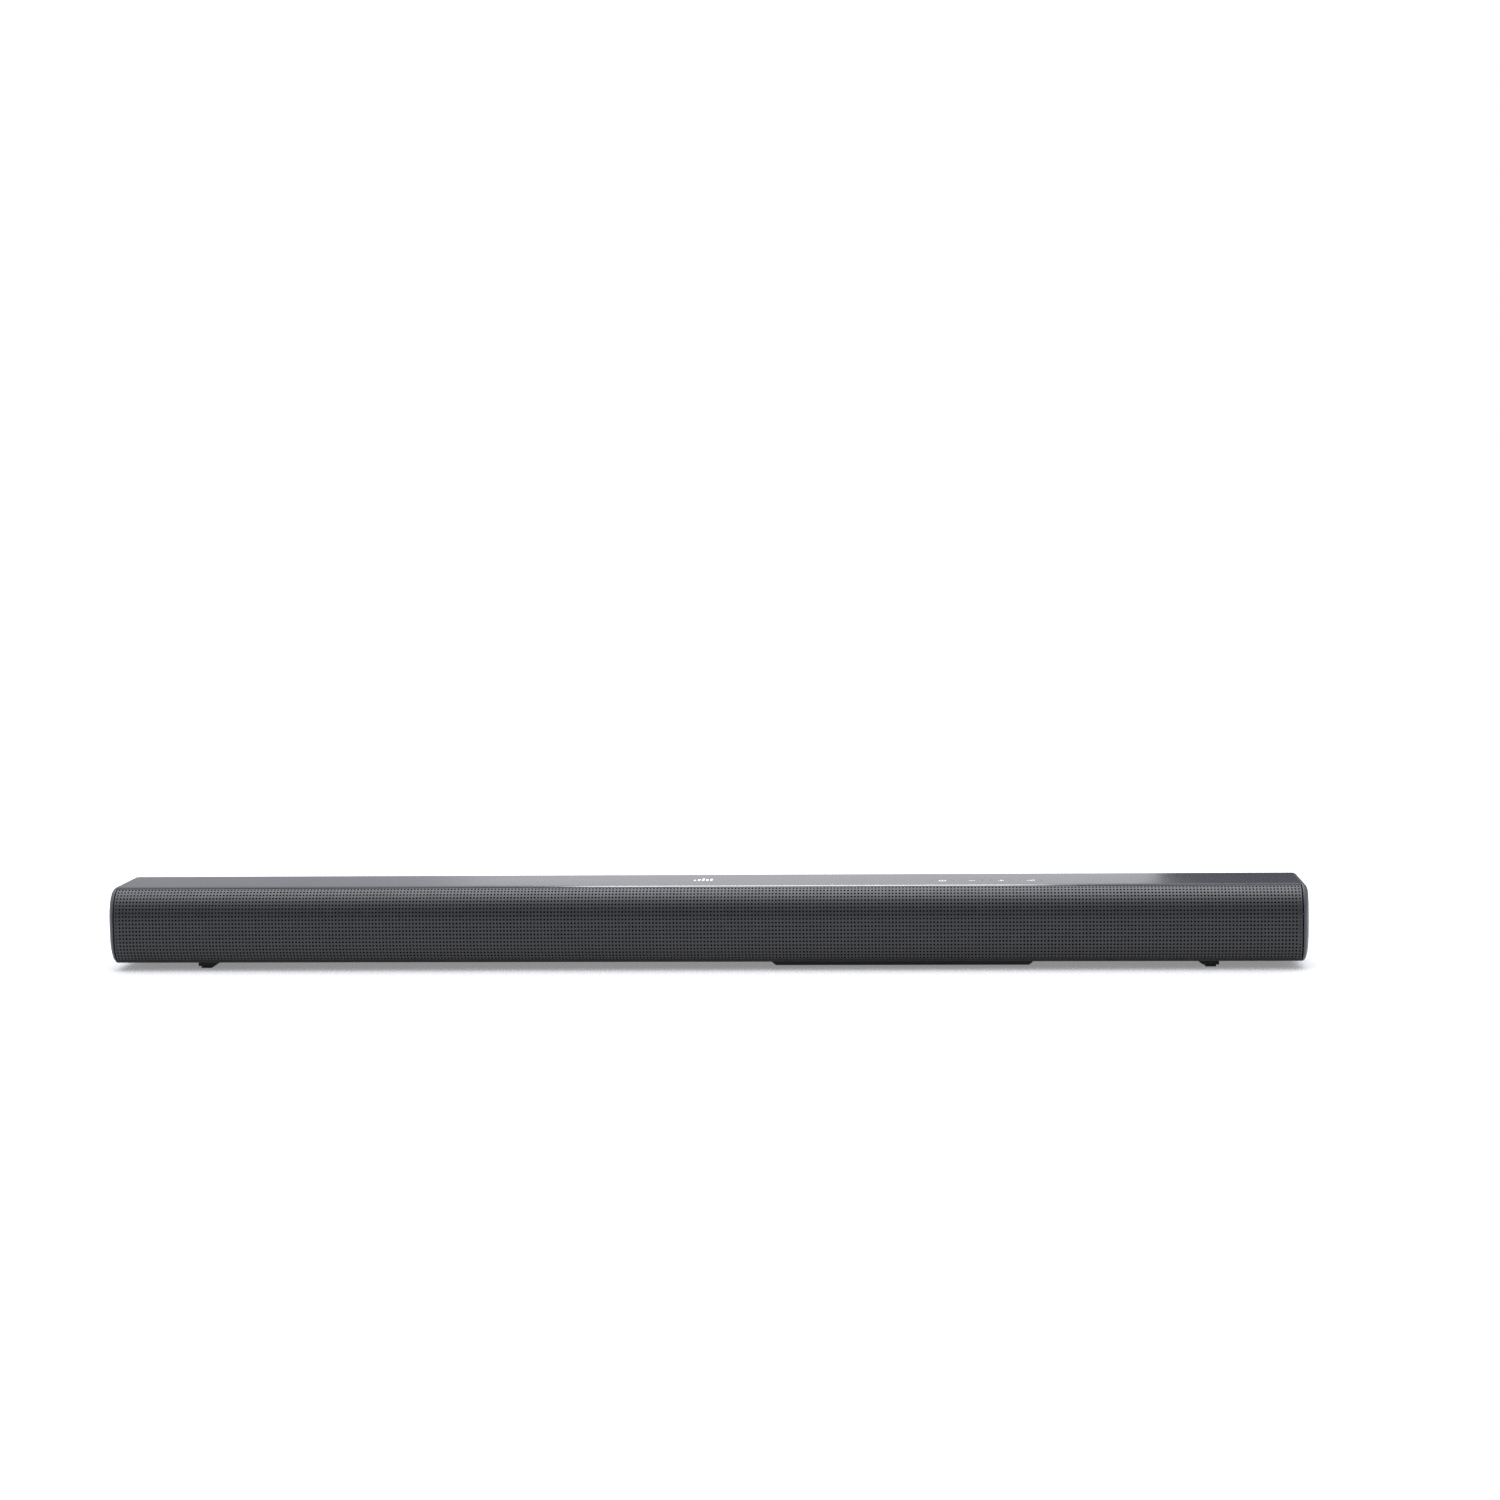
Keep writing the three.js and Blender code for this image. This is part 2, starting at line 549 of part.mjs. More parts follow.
function plainSocket(spec) {
  const mouth = roundedRect(socketMiddle(spec), spec.mouth, spec.corner);
  return socket(spec.x, spec.size, spec.length, mouth, spec.depth);
}

/** The figure-eight mains inlet, with its two pins standing in the well. */
function powerInlet() {
  const [x, z] = socketMiddle(SOCKETS.power);
  const wellFloor = SOCKET_MOUTH - SOCKETS.power.depth;
  const pins = [-4.3, 4.3].map((dx) => rodY(1.2, [x + dx, z], [wellFloor - 1, wellFloor + 9], 10));
  return join(plainSocket(SOCKETS.power), ...pins);
}

/** Recessed tray in the back wall; the sockets show through its floor. */
function connectorPanel() {
  const [x0, x1] = [RECESS.x[0] + GAP, RECESS.x[1] - GAP];
  const [z0, z1] = [RECESS.z[0] + GAP, RECESS.z[1] - GAP];
  const wall = RECESS.wall;
  const tray = block([x0, RECESS.floor, z0], [x1, BACK, z1]);
  const hollow = block([x0 + wall, SOCKET_MOUTH, z0 + wall], [x1 - wall, BACK + 1, z1 - wall]);
  const windows = Object.values(SOCKETS).map(({ x, size: [w, h] }) => block(
    [x - w / 2 - GAP, RECESS.floor - 1, SOCKET_BASE - GAP],
    [x + w / 2 + GAP, SOCKET_MOUTH + 1, SOCKET_BASE + h + GAP]));
  return cut(tray, hollow, ...windows);
}

/** Dust door inside the optical socket; it hangs from a pivot near its top edge. */
function opticalShutter() {
  const [x, z] = socketMiddle(SOCKETS.optical);
  return block([x - 4.2, SOCKET_MOUTH - 1.9, z - 4.2], [x + 4.2, SOCKET_MOUTH - 0.9, z + 4.2]);
}

/** Status lights and remote-control receiver, on the front of the baffle. */
function indicatorBoard() {
  const plate = block([-22, -25.9, 22], [22, BAFFLE.front - GAP, 34]);
  return join(plate, rodY(2.6, [12, 28], [-28.4, -25.5], 14));
}

add('connector_panel', connectorPanel(), FINISH.cabinet);
add('main_board', board(MAIN_BOARD), FINISH.laminate);
add('power_board', board(POWER_BOARD), FINISH.laminate);
add('heat_sink', heatSink(), FINISH.aluminium);
add('power_transformer', powerTransformer(), FINISH.copper);
add('bulk_capacitor', rodZ(9, [50, 0], [SOCKET_BASE, 50], 20), FINISH.sleeve);
add('power_inlet', powerInlet(), FINISH.socket);
add('optical_socket', plainSocket(SOCKETS.optical), FINISH.socket);
add('optical_shutter', opticalShutter(), FINISH.socket);
add('video_socket', plainSocket(SOCKETS.video), FINISH.plate);
add('service_socket', plainSocket(SOCKETS.service), FINISH.plate);
add('indicator_board', indicatorBoard(), FINISH.laminate);

// ---------------------------------------------------------------- wiring and fasteners

/** Speaker lead from under the main board, along the floor to a tweeter; points are (x, y, z). */
function speakerLead(route) {
  const curve = new THREE.CatmullRomCurve3(route.map((point) => new THREE.Vector3(...point)));
  const section = new THREE.Shape(arc(0, 0, LEAD_RADIUS, LEAD_RADIUS, 0, 315, 7));
  return new THREE.ExtrudeGeometry(section, { steps: 50, extrudePath: curve });
}

add('left_speaker_lead', speakerLead([
  [112, 0, 18], [112, 8, 16], [111, 16, 12.4], [104, 25, 11.7], [88, 27, 11.7], [0, 27, 11.7],
  [-120, 27, 11.7], [-240, 27, 11.7], [-380, 27, 11.7], [-406, 24, 16], [-418, 13, 27],
  [-418, -1.2, 33.2],
]), FINISH.lead);
add('right_speaker_lead', speakerLead([
  [188, 0, 18], [188, 8, 16], [190, 16, 12.4], [198, 25, 11.7], [214, 27, 11.7],
  [300, 27, 11.7], [380, 27, 11.7], [406, 24, 16], [418, 13, 27], [418, -1.2, 33.2],
]), FINISH.lead);

function bracketScrew(x) {
  const { head, shank, sink } = BRACKET;
  const seat = BACK - sink + GAP;
  const profile = [
    [0, BACK - WALL - 6], [shank, BACK - WALL - 6], [shank, seat], [head, seat],
    [head, seat + 1.4], [head * 0.75, seat + 2.2], [0, seat + 2.4],
  ];
  const points = profile.map(([r, y]) => new THREE.Vector2(r, y));
  return new THREE.LatheGeometry(points, 18).translate(x, 0, BRACKET.z);
}

add('left_bracket_screw', bracketScrew(-BRACKET.x), FINISH.plate);
add('right_bracket_screw', bracketScrew(BRACKET.x), FINISH.plate);

soundbar.position.y = -(FRONT + BACK) / 2;

export default soundbar;
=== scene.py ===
"""Looks of the soundbar: pieces, materials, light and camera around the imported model.

Lengths are metres unless a helper says millimetres; MM turns one into the other.
"""

import math

import bmesh
import bpy
import numpy as np
from mathutils import Matrix, Vector


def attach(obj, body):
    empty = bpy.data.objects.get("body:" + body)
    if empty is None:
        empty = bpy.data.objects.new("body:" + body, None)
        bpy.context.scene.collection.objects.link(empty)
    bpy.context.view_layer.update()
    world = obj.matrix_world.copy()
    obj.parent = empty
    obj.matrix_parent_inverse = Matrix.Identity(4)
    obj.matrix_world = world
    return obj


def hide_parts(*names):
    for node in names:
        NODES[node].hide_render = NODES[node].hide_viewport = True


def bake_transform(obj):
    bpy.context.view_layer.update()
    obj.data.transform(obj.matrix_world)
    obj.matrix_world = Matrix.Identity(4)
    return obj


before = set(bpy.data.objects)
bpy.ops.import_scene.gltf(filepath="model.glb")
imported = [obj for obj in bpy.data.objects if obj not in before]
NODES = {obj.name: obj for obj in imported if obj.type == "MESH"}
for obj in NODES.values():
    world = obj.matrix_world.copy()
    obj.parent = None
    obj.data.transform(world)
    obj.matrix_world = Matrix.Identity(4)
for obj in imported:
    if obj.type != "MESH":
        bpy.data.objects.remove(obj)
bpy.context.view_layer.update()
ROOT = "cabinet"
MM = 0.001

# ------------------------------------------------------------------ sizes, in millimetres

FRONT, BACK = -33.5, 38.5  # y of the grille and of the back wall, from the drawing datum
MIDDLE = (FRONT + BACK) / 2  # the bar's middle, where the frame has y = 0
TOP, BELLY = 63.0, 5.4  # top cover, and the underside of the bottom panel
SHELL_END = 444.9  # end of the pieces between the end caps
GRILLE_STOP = 444.2  # end of the grille, short of the cap by a dark reveal
CAP_SEAM, CAP_THICK = 445.2, 4.8
CAP_INSET = {"front": 12, "top": 7, "bottom": 11, "back": 7}
BROW, CHIN, HEEL, RIM = (18.5, 24.5), (13, 18.5), 4, 2.5
WALL = 2.5

GRILLE_THICK, GRILLE_FROM, GRILLE_TO = 0.8, 108.2, 234.8  # arc angles in degrees
COVER_TO = 105.6  # arc angle where the top cover ends
CHAMFER_FROM = 100.5  # arc angle where its polished front chamfer starts
CLOTH_DEPTH, CLOTH_FROM, CLOTH_TO = 1.3, 112, 231.5
CLOTH_END_GAP = 1  # short of the end caps
HOLE = 0.78  # radius of a perforation
HOLE_SIDES = 8
HOLE_ROWS, HOLE_PITCH = 21, 2.55
GRILLE_RIM, GRILLE_END = 0.1, 0.5  # plain metal outside the hole cells, at the edges and ends
GRILLE_HEM = 2.5  # turned-in strip behind each edge

KEY_X, KEY_Y, KEY_SIZE, KEY_CORNER = (181, 203, 225, 247), 0.5, (16, 11), 3
KEYS = ("power", "volume_down", "volume_up", "source")
KEY_SEAM = 0.12  # visible gap round each key
MARK_THICK, MARK_SINK = 0.05, 0.02  # raised print, and how far it reaches into its face

BOARD_TOP, SOCKET_BASE = 21.6, 21.9  # heights of the boards' upper face and of what stands on it
SOCKET_MOUTH = 25.5  # y of the sockets' outer face
WOOFER_X, TWEETER_X, SPEAKER_Z = {"inner": 254, "outer": 350}, 418, 33.2
BRACKET_X, BRACKET_Z, BRACKET_SEAT = 300, 42, BACK - 2.7
TRAY_BOTTOM = 2.1

# ------------------------------------------------------------------ camera

CAMERA_AT = (0.1849, -2.0360, 0.3632)
CAMERA_LENS, CAMERA_SENSOR = 65.46, 36.0
PITCH_DOWN, YAW_LEFT, ROLL = (math.radians(a) for a in (5.616, 4.145, -0.82))


def add_camera():
    ahead = Vector((-math.sin(YAW_LEFT) * math.cos(PITCH_DOWN),
                    math.cos(YAW_LEFT) * math.cos(PITCH_DOWN), -math.sin(PITCH_DOWN)))
    level = Vector((math.cos(YAW_LEFT), math.sin(YAW_LEFT), 0))
    above = level.cross(ahead)
    right = math.cos(ROLL) * level + math.sin(ROLL) * above
    up = math.cos(ROLL) * above - math.sin(ROLL) * level
    data = bpy.data.cameras.new("camera")
    data.lens, data.sensor_width, data.clip_end = CAMERA_LENS, CAMERA_SENSOR, 100
    camera = bpy.data.objects.new("camera", data)
    axes = Matrix((right, up, -ahead)).transposed().to_4x4()
    camera.matrix_world = Matrix.Translation(CAMERA_AT) @ axes
    bpy.context.scene.collection.objects.link(camera)
    bpy.context.scene.camera = camera


# ------------------------------------------------------------------ light and floor

SKY_BASE, SKY_RISE, SKY_POWER = 0.70, 4.8, 4.3  # radiance = base + rise * height ** power
FLOOR_GLOW = 0.25


def area_light(name, at, towards, size, power, tint=(1, 1, 1)):
    data = bpy.data.lights.new(name, "AREA")
    data.shape = "RECTANGLE"
    data.size, data.size_y = size
    data.energy, data.color = power, tint
    light = bpy.data.objects.new(name, data)
    light.location = at
    aim = Vector(towards) - Vector(at)
    light.rotation_euler = aim.to_track_quat("-Z", "Y").to_euler()
    light.visible_camera = False
    bpy.context.scene.collection.objects.link(light)


def add_sky():
    """White to the camera; to everything else a soft dome that is brightest overhead."""
    world = bpy.data.worlds.new("studio")
    bpy.context.scene.world = world
    world.use_nodes = True
    tree = world.node_tree
    tree.nodes.clear()
    out = tree.nodes.new("ShaderNodeOutputWorld")
    seen, fill = (tree.nodes.new("ShaderNodeBackground") for _ in range(2))
    seen.inputs["Color"].default_value = (1, 1, 1, 1)
    fill.inputs["Color"].default_value = (0.94, 0.955, 1, 1)
    way = tree.nodes.new("ShaderNodeTexCoord")
    axes = tree.nodes.new("ShaderNodeSeparateXYZ")
    tree.links.new(way.outputs["Generated"], axes.inputs[0])

    def step(operation, value, other):
        node = tree.nodes.new("ShaderNodeMath")
        node.operation = operation
        tree.links.new(value, node.inputs[0])
        node.inputs[1].default_value = other
        return node.outputs[0]

    height = step("MAXIMUM", axes.outputs["Z"], 0.0)
    climb = step("MULTIPLY", step("POWER", height, SKY_POWER), SKY_RISE)
    tree.links.new(step("ADD", climb, SKY_BASE), fill.inputs["Strength"])
    mix = tree.nodes.new("ShaderNodeMixShader")
    path = tree.nodes.new("ShaderNodeLightPath")
    tree.links.new(path.outputs["Is Camera Ray"], mix.inputs[0])
    tree.links.new(fill.outputs[0], mix.inputs[1])
    tree.links.new(seen.outputs[0], mix.inputs[2])
    tree.links.new(mix.outputs[0], out.inputs["Surface"])


NEIGHBOUR_X, NEIGHBOUR_Y, NEIGHBOUR_TOP = (0.377, 0.8), 0.45, 0.31


def add_neighbour():
    """A dark card behind the right end that only gloss sees: the dark box that stands there."""
    card = bpy.data.meshes.new("neighbour")
    (x0, x1), y, top = NEIGHBOUR_X, NEIGHBOUR_Y, NEIGHBOUR_TOP
    card.from_pydata([(x0, y, 0), (x1, y, 0), (x1, y, top), (x0, y, top)], [], [(0, 1, 2, 3)])
    card.materials.append(material("neighbour_paint", (0.03, 0.03, 0.033), 0.9))
    obj = bpy.data.objects.new("neighbour", card)
    bpy.context.scene.collection.objects.link(obj)
    obj.visible_camera = obj.visible_diffuse = obj.visible_shadow = obj.visible_transmission = False


FLOOR_REACH = 30


def add_studio():
    bpy.context.scene.view_settings.view_transform = "Standard"
    bpy.context.scene.cycles.use_denoising = False  # denoising wipes out the fine perforation
    add_sky()
    area_light("rear_low", (0.2, 3.0, 0.62), (0.05, 0, 0.05), (1.9, 0.9), 3.2, (0.93, 0.95, 1))
    area_light("rear_high", (-0.05, 2.0, 1.7), (0.1, 0, 0.05), (0.8, 0.5), 11)
    add_neighbour()
    floor = bpy.data.meshes.new("floor")
    floor.from_pydata([(x * FLOOR_REACH, y * FLOOR_REACH, 0)
                       for x, y in ((-1, -1), (1, -1), (1, 1), (-1, 1))], [], [(0, 1, 2, 3)])
    paint = material("floor_paint", (0.50, 0.50, 0.505), 0.8, grain=(60, 0.02), mottle=(2, 0.01))
    shader = paint.node_tree.nodes["Principled BSDF"]
    shader.inputs["Emission Color"].default_value = (1, 1, 1, 1)
    shader.inputs["Emission Strength"].default_value = FLOOR_GLOW
    floor.materials.append(paint)
    ground = bpy.data.objects.new("floor", floor)
    bpy.context.scene.collection.objects.link(ground)


# ------------------------------------------------------------------ materials


NOISE_SPAN = (0.3, 0.7)  # nearly all of a noise texture's values lie between these
MOTTLE_DETAIL, GLOSS_DETAIL, GRAIN_DETAIL = 3, 4, 2
GLOSS_CELLS = 3.1  # cells of the uneven gloss to one of the mottling


def material(name, colour, rough, metal=0.0, grain=(900, 0.03), mottle=(40, 0.08),
             rough_spread=0.06, specular=0.5, coat=0.0, sheen=0.0, brushed=None):
    """A base coat with slight mottling, uneven gloss and a fine relief.

    grain is (cells per metre, depth in millimetres), mottle is (cells per metre, share of the
    colour), and brushed stretches the relief along one axis by its three scale factors.
    """
    made = bpy.data.materials.new(name)
    made.use_nodes = True
    nodes, links = made.node_tree.nodes, made.node_tree.links
    shader = nodes["Principled BSDF"]
    shader.inputs["Metallic"].default_value = metal
    shader.inputs["Specular IOR Level"].default_value = specular
    shader.inputs["Coat Weight"].default_value = coat
    shader.inputs["Sheen Weight"].default_value = sheen
    place = nodes.new("ShaderNodeTexCoord").outputs["Object"]
    if brushed:
        stretch = nodes.new("ShaderNodeMapping")
        stretch.inputs["Scale"].default_value = brushed
        links.new(place, stretch.inputs["Vector"])
        streaks = stretch.outputs["Vector"]
    else:
        streaks = place

    def noise(scale, detail, where):
        node = nodes.new("ShaderNodeTexNoise")
        node.inputs["Scale"].default_value = scale
        node.inputs["Detail"].default_value = detail
        links.new(where, node.inputs["Vector"])
        return node.outputs["Fac"]

    tones = nodes.new("ShaderNodeValToRGB")
    ends = tones.color_ramp.elements
    ends[0].position, ends[1].position = NOISE_SPAN
    for element, factor in zip(ends, (1 - mottle[1], 1 + mottle[1])):
        element.color = (*(min(c * factor, 1) for c in colour), 1)
    links.new(noise(mottle[0], MOTTLE_DETAIL, place), tones.inputs["Fac"])
    links.new(tones.outputs["Color"], shader.inputs["Base Color"])
    gloss = nodes.new("ShaderNodeMapRange")
    gloss.inputs["From Min"].default_value, gloss.inputs["From Max"].default_value = NOISE_SPAN
    gloss.inputs["To Min"].default_value = max(rough - rough_spread, 0.02)
    gloss.inputs["To Max"].default_value = min(rough + rough_spread, 1)
    links.new(noise(mottle[0] * GLOSS_CELLS, GLOSS_DETAIL, streaks), gloss.inputs["Value"])
    links.new(gloss.outputs["Result"], shader.inputs["Roughness"])
    bump = nodes.new("ShaderNodeBump")
    bump.inputs["Distance"].default_value = grain[1] * MM
    bump.inputs["Strength"].default_value = 1
    links.new(noise(grain[0], GRAIN_DETAIL, streaks), bump.inputs["Height"])
    links.new(bump.outputs["Normal"], shader.inputs["Normal"])
    return made


WAVE_FIT = 0.31  # wave scale that puts one wave on a metre
WEAVE_RELIEF = 0.12


def woven(name, colour, thread, rough=0.9, sheen=0.3):
    """Knitted cloth: two crossed wave patterns raise the threads."""
    made = material(name, colour, rough, grain=(1 / thread / MM, 0.05), sheen=sheen)
    nodes, links = made.node_tree.nodes, made.node_tree.links
    place = next(n for n in nodes if n.bl_idname == "ShaderNodeTexCoord").outputs["Object"]
    waves = []
    for direction in ("X", "Z"):
        wave = nodes.new("ShaderNodeTexWave")
        wave.bands_direction = direction
        wave.inputs["Scale"].default_value = WAVE_FIT / (thread * MM)
        wave.inputs["Distortion"].default_value = 0.6
        links.new(place, wave.inputs["Vector"])
        waves.append(wave.outputs["Fac"])
    weave = nodes.new("ShaderNodeMath")
    weave.operation = "MULTIPLY"
    links.new(waves[0], weave.inputs[0])
    links.new(waves[1], weave.inputs[1])
    bump = next(n for n in nodes if n.bl_idname == "ShaderNodeBump")
    bump.inputs["Distance"].default_value = WEAVE_RELIEF * MM
    links.new(weave.outputs[0], bump.inputs["Height"])
    return made


TRACK_CELLS, TRACK_WIDTH = 190, 0.09  # cells per metre, and a track's share of a cell
TRACK_TINT = (2.4, 1.9, 2.0)


def circuit_board(name, colour):
    """Solder mask with paler tracks: the cell borders of a square-sided Voronoi pattern."""
    made = material(name, colour, 0.42, grain=(1200, 0.02), mottle=(60, 0.1))
    nodes, links = made.node_tree.nodes, made.node_tree.links
    shader = nodes["Principled BSDF"]
    place = next(n for n in nodes if n.bl_idname == "ShaderNodeTexCoord").outputs["Object"]
    gap = nodes.new("ShaderNodeMath")
    gap.operation = "SUBTRACT"
    for feature, socket in (("F2", 0), ("F1", 1)):
        cells = nodes.new("ShaderNodeTexVoronoi")
        cells.distance, cells.feature = "CHEBYCHEV", feature
        cells.inputs["Scale"].default_value = TRACK_CELLS
        links.new(place, cells.inputs["Vector"])
        links.new(cells.outputs["Distance"], gap.inputs[socket])
    track = nodes.new("ShaderNodeMath")
    track.operation = "LESS_THAN"
    track.inputs[1].default_value = TRACK_WIDTH
    links.new(gap.outputs[0], track.inputs[0])
    tint = nodes.new("ShaderNodeMix")
    tint.data_type = "RGBA"
    old = shader.inputs["Base Color"].links[0].from_socket
    links.new(track.outputs[0], tint.inputs["Factor"])
    links.new(old, tint.inputs["A"])
    tint.inputs["B"].default_value = (*(c * t for c, t in zip(colour, TRACK_TINT)), 1)
    links.new(tint.outputs["Result"], shader.inputs["Base Color"])
    return made


def paint_node(node, look):
    for place in NODES[node].material_slots:
        place.link = "OBJECT"
        place.material = look


# ------------------------------------------------------------------ mesh helpers


def arc(cy, cz, ry, rz, start, end, steps):
    turns = (math.radians(start + (end - start) * i / steps) for i in range(steps + 1))
    return [(cy + ry * math.cos(t), cz + rz * math.sin(t)) for t in turns]


def brow_arc(inset, start, end, steps):
    return arc(FRONT + BROW[0], TOP - BROW[1], BROW[0] - inset, BROW[1] - inset, start, end, steps)


def chin_arc(inset, start, end, steps):
    return arc(FRONT + CHIN[0], BELLY + CHIN[1], CHIN[0] - inset, CHIN[1] - inset,
               start, end, steps)


def body_outline(front=0.0, top=0.0, bottom=0.0, back=0.0, fine=4):
    """The bar's cross-section in (y, z), pulled in by a different amount on each side."""
    y0, y1, z0, z1 = FRONT + front, BACK - back, BELLY + bottom, TOP - top
    brow = (BROW[0] - front, BROW[1] - top)
    chin = (max(CHIN[0] - front / 3, 2), max(CHIN[1] - bottom / 3, 2))
    return [
        *arc(y0 + brow[0], z1 - brow[1], *brow, 90, 180, 10 * fine),
        *arc(y0 + chin[0], z0 + chin[1], *chin, 180, 270, 7 * fine),
        *arc(y1 - HEEL, z0 + HEEL, HEEL, HEEL, 270, 360, 3 * fine),
        *arc(y1 - RIM, z1 - RIM, RIM, RIM, 0, 90, 3 * fine),
    ]


def nose_path(inset, start, end):
    """Points (y, z) and outward normals along the nose, by arc length, and its whole length."""
    line = np.array([*brow_arc(inset, start, 180, 400), *chin_arc(inset, 180, end, 240)])
    length = np.concatenate([[0], np.cumsum(np.linalg.norm(np.diff(line, axis=0), axis=1))])
    keep = np.concatenate([[True], np.diff(length) > 1e-9])
    line, length = line[keep], length[keep]
    tangent = np.gradient(line, length, axis=0)
    tangent /= np.linalg.norm(tangent, axis=1)[:, None]
    normal = np.stack([tangent[:, 1], -tangent[:, 0]], 1)

    def at(s):
        s = np.asarray(s, float)
        point = np.stack([np.interp(s, length, line[:, i]) for i in (0, 1)], -1)
        out = np.stack([np.interp(s, length, normal[:, i]) for i in (0, 1)], -1)
        return point, out / np.linalg.norm(out, axis=-1, keepdims=True)

    return at, float(length[-1])


def raw_object(name, points, faces):
    """A linked mesh object from points in millimetres, with its faces turned outwards."""
    mesh = bpy.data.meshes.new(name)
    placed = (np.asarray(points, float) - (0, MIDDLE, 0)) * MM
    mesh.from_pydata(placed.tolist(), [], faces)
    work = bmesh.new()
    work.from_mesh(mesh)
    bmesh.ops.recalc_face_normals(work, faces=work.faces)
    work.to_mesh(mesh)
    work.free()
    obj = bpy.data.objects.new(name, mesh)
    bpy.context.scene.collection.objects.link(obj)
    return obj


def settle(obj):
    """Applies the object's modifiers to its own mesh."""
    bpy.context.view_layer.update()
    done = bpy.data.meshes.new_from_object(obj.evaluated_get(bpy.context.evaluated_depsgraph_get()))
    obj.modifiers.clear()
    old, obj.data = obj.data, done
    bpy.data.meshes.remove(old)


def carve(obj, cutters, operation="DIFFERENCE"):
    for cutter in cutters:
        boolean = obj.modifiers.new("cut", "BOOLEAN")
        boolean.operation, boolean.object, boolean.solver = operation, cutter, "EXACT"
    settle(obj)
    for cutter in cutters:
        bpy.data.objects.remove(cutter)
    return obj


def finish_piece(obj, look, body=ROOT, replaces=(), edge=0.0, sharp=35):
    """Rounds the edges, sets shading, look and slot, and rides on the body, if there is one."""
    if edge:
        bevel = obj.modifiers.new("edge", "BEVEL")
        bevel.width, bevel.segments = edge * MM, 2
        bevel.limit_method, bevel.angle_limit = "ANGLE", math.radians(sharp)
        settle(obj)
    mesh = obj.data
    mesh.materials.clear()
    mesh.materials.append(look)
    mesh.shade_smooth()
    mesh.set_sharp_from_angle(angle=math.radians(sharp))
    if body:
        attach(obj, body)
    if replaces:
        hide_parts(*replaces)
    return obj


def bridge(rings, closed=False, capped=True):
    """Faces between equally long rings of points; a closed run joins its last ring to its first."""
    count, last = len(rings[0]), len(rings)
    faces = []
    for r in range(last if closed else last - 1):
        here, after = r * count, (r + 1) % last * count
        for i in range(count):
            j = (i + 1) % count
            faces.append([here + i, here + j, after + j, after + i])
    if capped and not closed:
        faces.append(list(range(count))[::-1])
        faces.append([(last - 1) * count + i for i in range(count)])
    return [p for ring in rings for p in ring], faces


def prism(name, outline, axis, low, high):
    """A straight-sided solid: the outline lies across the axis, in the order of the other two."""
    def spot(a, b, along):
        return {"X": (along, a, b), "Y": (a, along, b), "Z": (a, b, along)}[axis]
    rings = [[spot(a, b, along) for a, b in outline] for along in (low, high)]
    return raw_object(name, *bridge(rings))


def slab(name, low, high):
    (x0, y0, z0), (x1, y1, z1) = low, high
    return prism(name, [(x0, y0), (x1, y0), (x1, y1), (x0, y1)], "Z", z0, z1)


def rounded(centre, size, corner, steps=8):
    dx, dy = size[0] / 2 - corner, size[1] / 2 - corner
    quarters = ((1, 1, 0), (-1, 1, 90), (-1, -1, 180), (1, -1, 270))
    return [p for sx, sy, start in quarters
            for p in arc(centre[0] + sx * dx, centre[1] + sy * dy, corner, corner,
                         start, start + 90, steps)]


def lathe(name, profile, centre, axis="Z", sides=32):
    """Turns (radius, along) rows round an axis through the centre; rows of radius 0 close it."""
    rings = []
    for radius, along in profile:
        ring = arc(0, 0, max(radius, 0.01), max(radius, 0.01), 0, 360 - 360 / sides, sides - 1)
        cx, cy, cz = centre
        place = {"Z": lambda a, b: (cx + a, cy + b, cz + along),
                 "Y": lambda a, b: (cx + a, cy + along, cz + b)}[axis]
        rings.append([place(a, b) for a, b in ring])
    return raw_object(name, *bridge(rings))


def merge(name, parts):
    """One mesh object made of several disjoint ones."""
    work = bmesh.new()
    for part in parts:
        work.from_mesh(part.data)
    mesh = bpy.data.meshes.new(name)
    work.to_mesh(mesh)
    work.free()
    for part in parts:
        bpy.data.objects.remove(part)
    obj = bpy.data.objects.new(name, mesh)
    bpy.context.scene.collection.objects.link(obj)
    return obj


REAL_EDGE = math.radians(34)  # a sharper fold than this is an edge of the real piece


def smoothing_group():
    """Geometry nodes that shade a faceted solid smooth, but for its real edges."""
    tree = bpy.data.node_groups.new("smooth_shading", "GeometryNodeTree")
    tree.interface.new_socket("Geometry", in_out="INPUT", socket_type="NodeSocketGeometry")
    tree.interface.new_socket("Geometry", in_out="OUTPUT", socket_type="NodeSocketGeometry")
    start, end = tree.nodes.new("NodeGroupInput"), tree.nodes.new("NodeGroupOutput")
    normals = tree.nodes.new("GeometryNodeSetMeshNormal")
    normals.mode = "SHARPNESS"
    normals.inputs["Remove Custom"].default_value = True
    angle = tree.nodes.new("GeometryNodeInputMeshEdgeAngle")
    real = tree.nodes.new("FunctionNodeCompare")
    real.operation = "GREATER_THAN"
    real.inputs[1].default_value = REAL_EDGE
    tree.links.new(angle.outputs["Unsigned Angle"], real.inputs[0])
    tree.links.new(start.outputs[0], normals.inputs["Mesh"])
    tree.links.new(real.outputs[0], normals.inputs["Edge Sharpness"])
    tree.links.new(normals.outputs[0], end.inputs[0])
    return tree


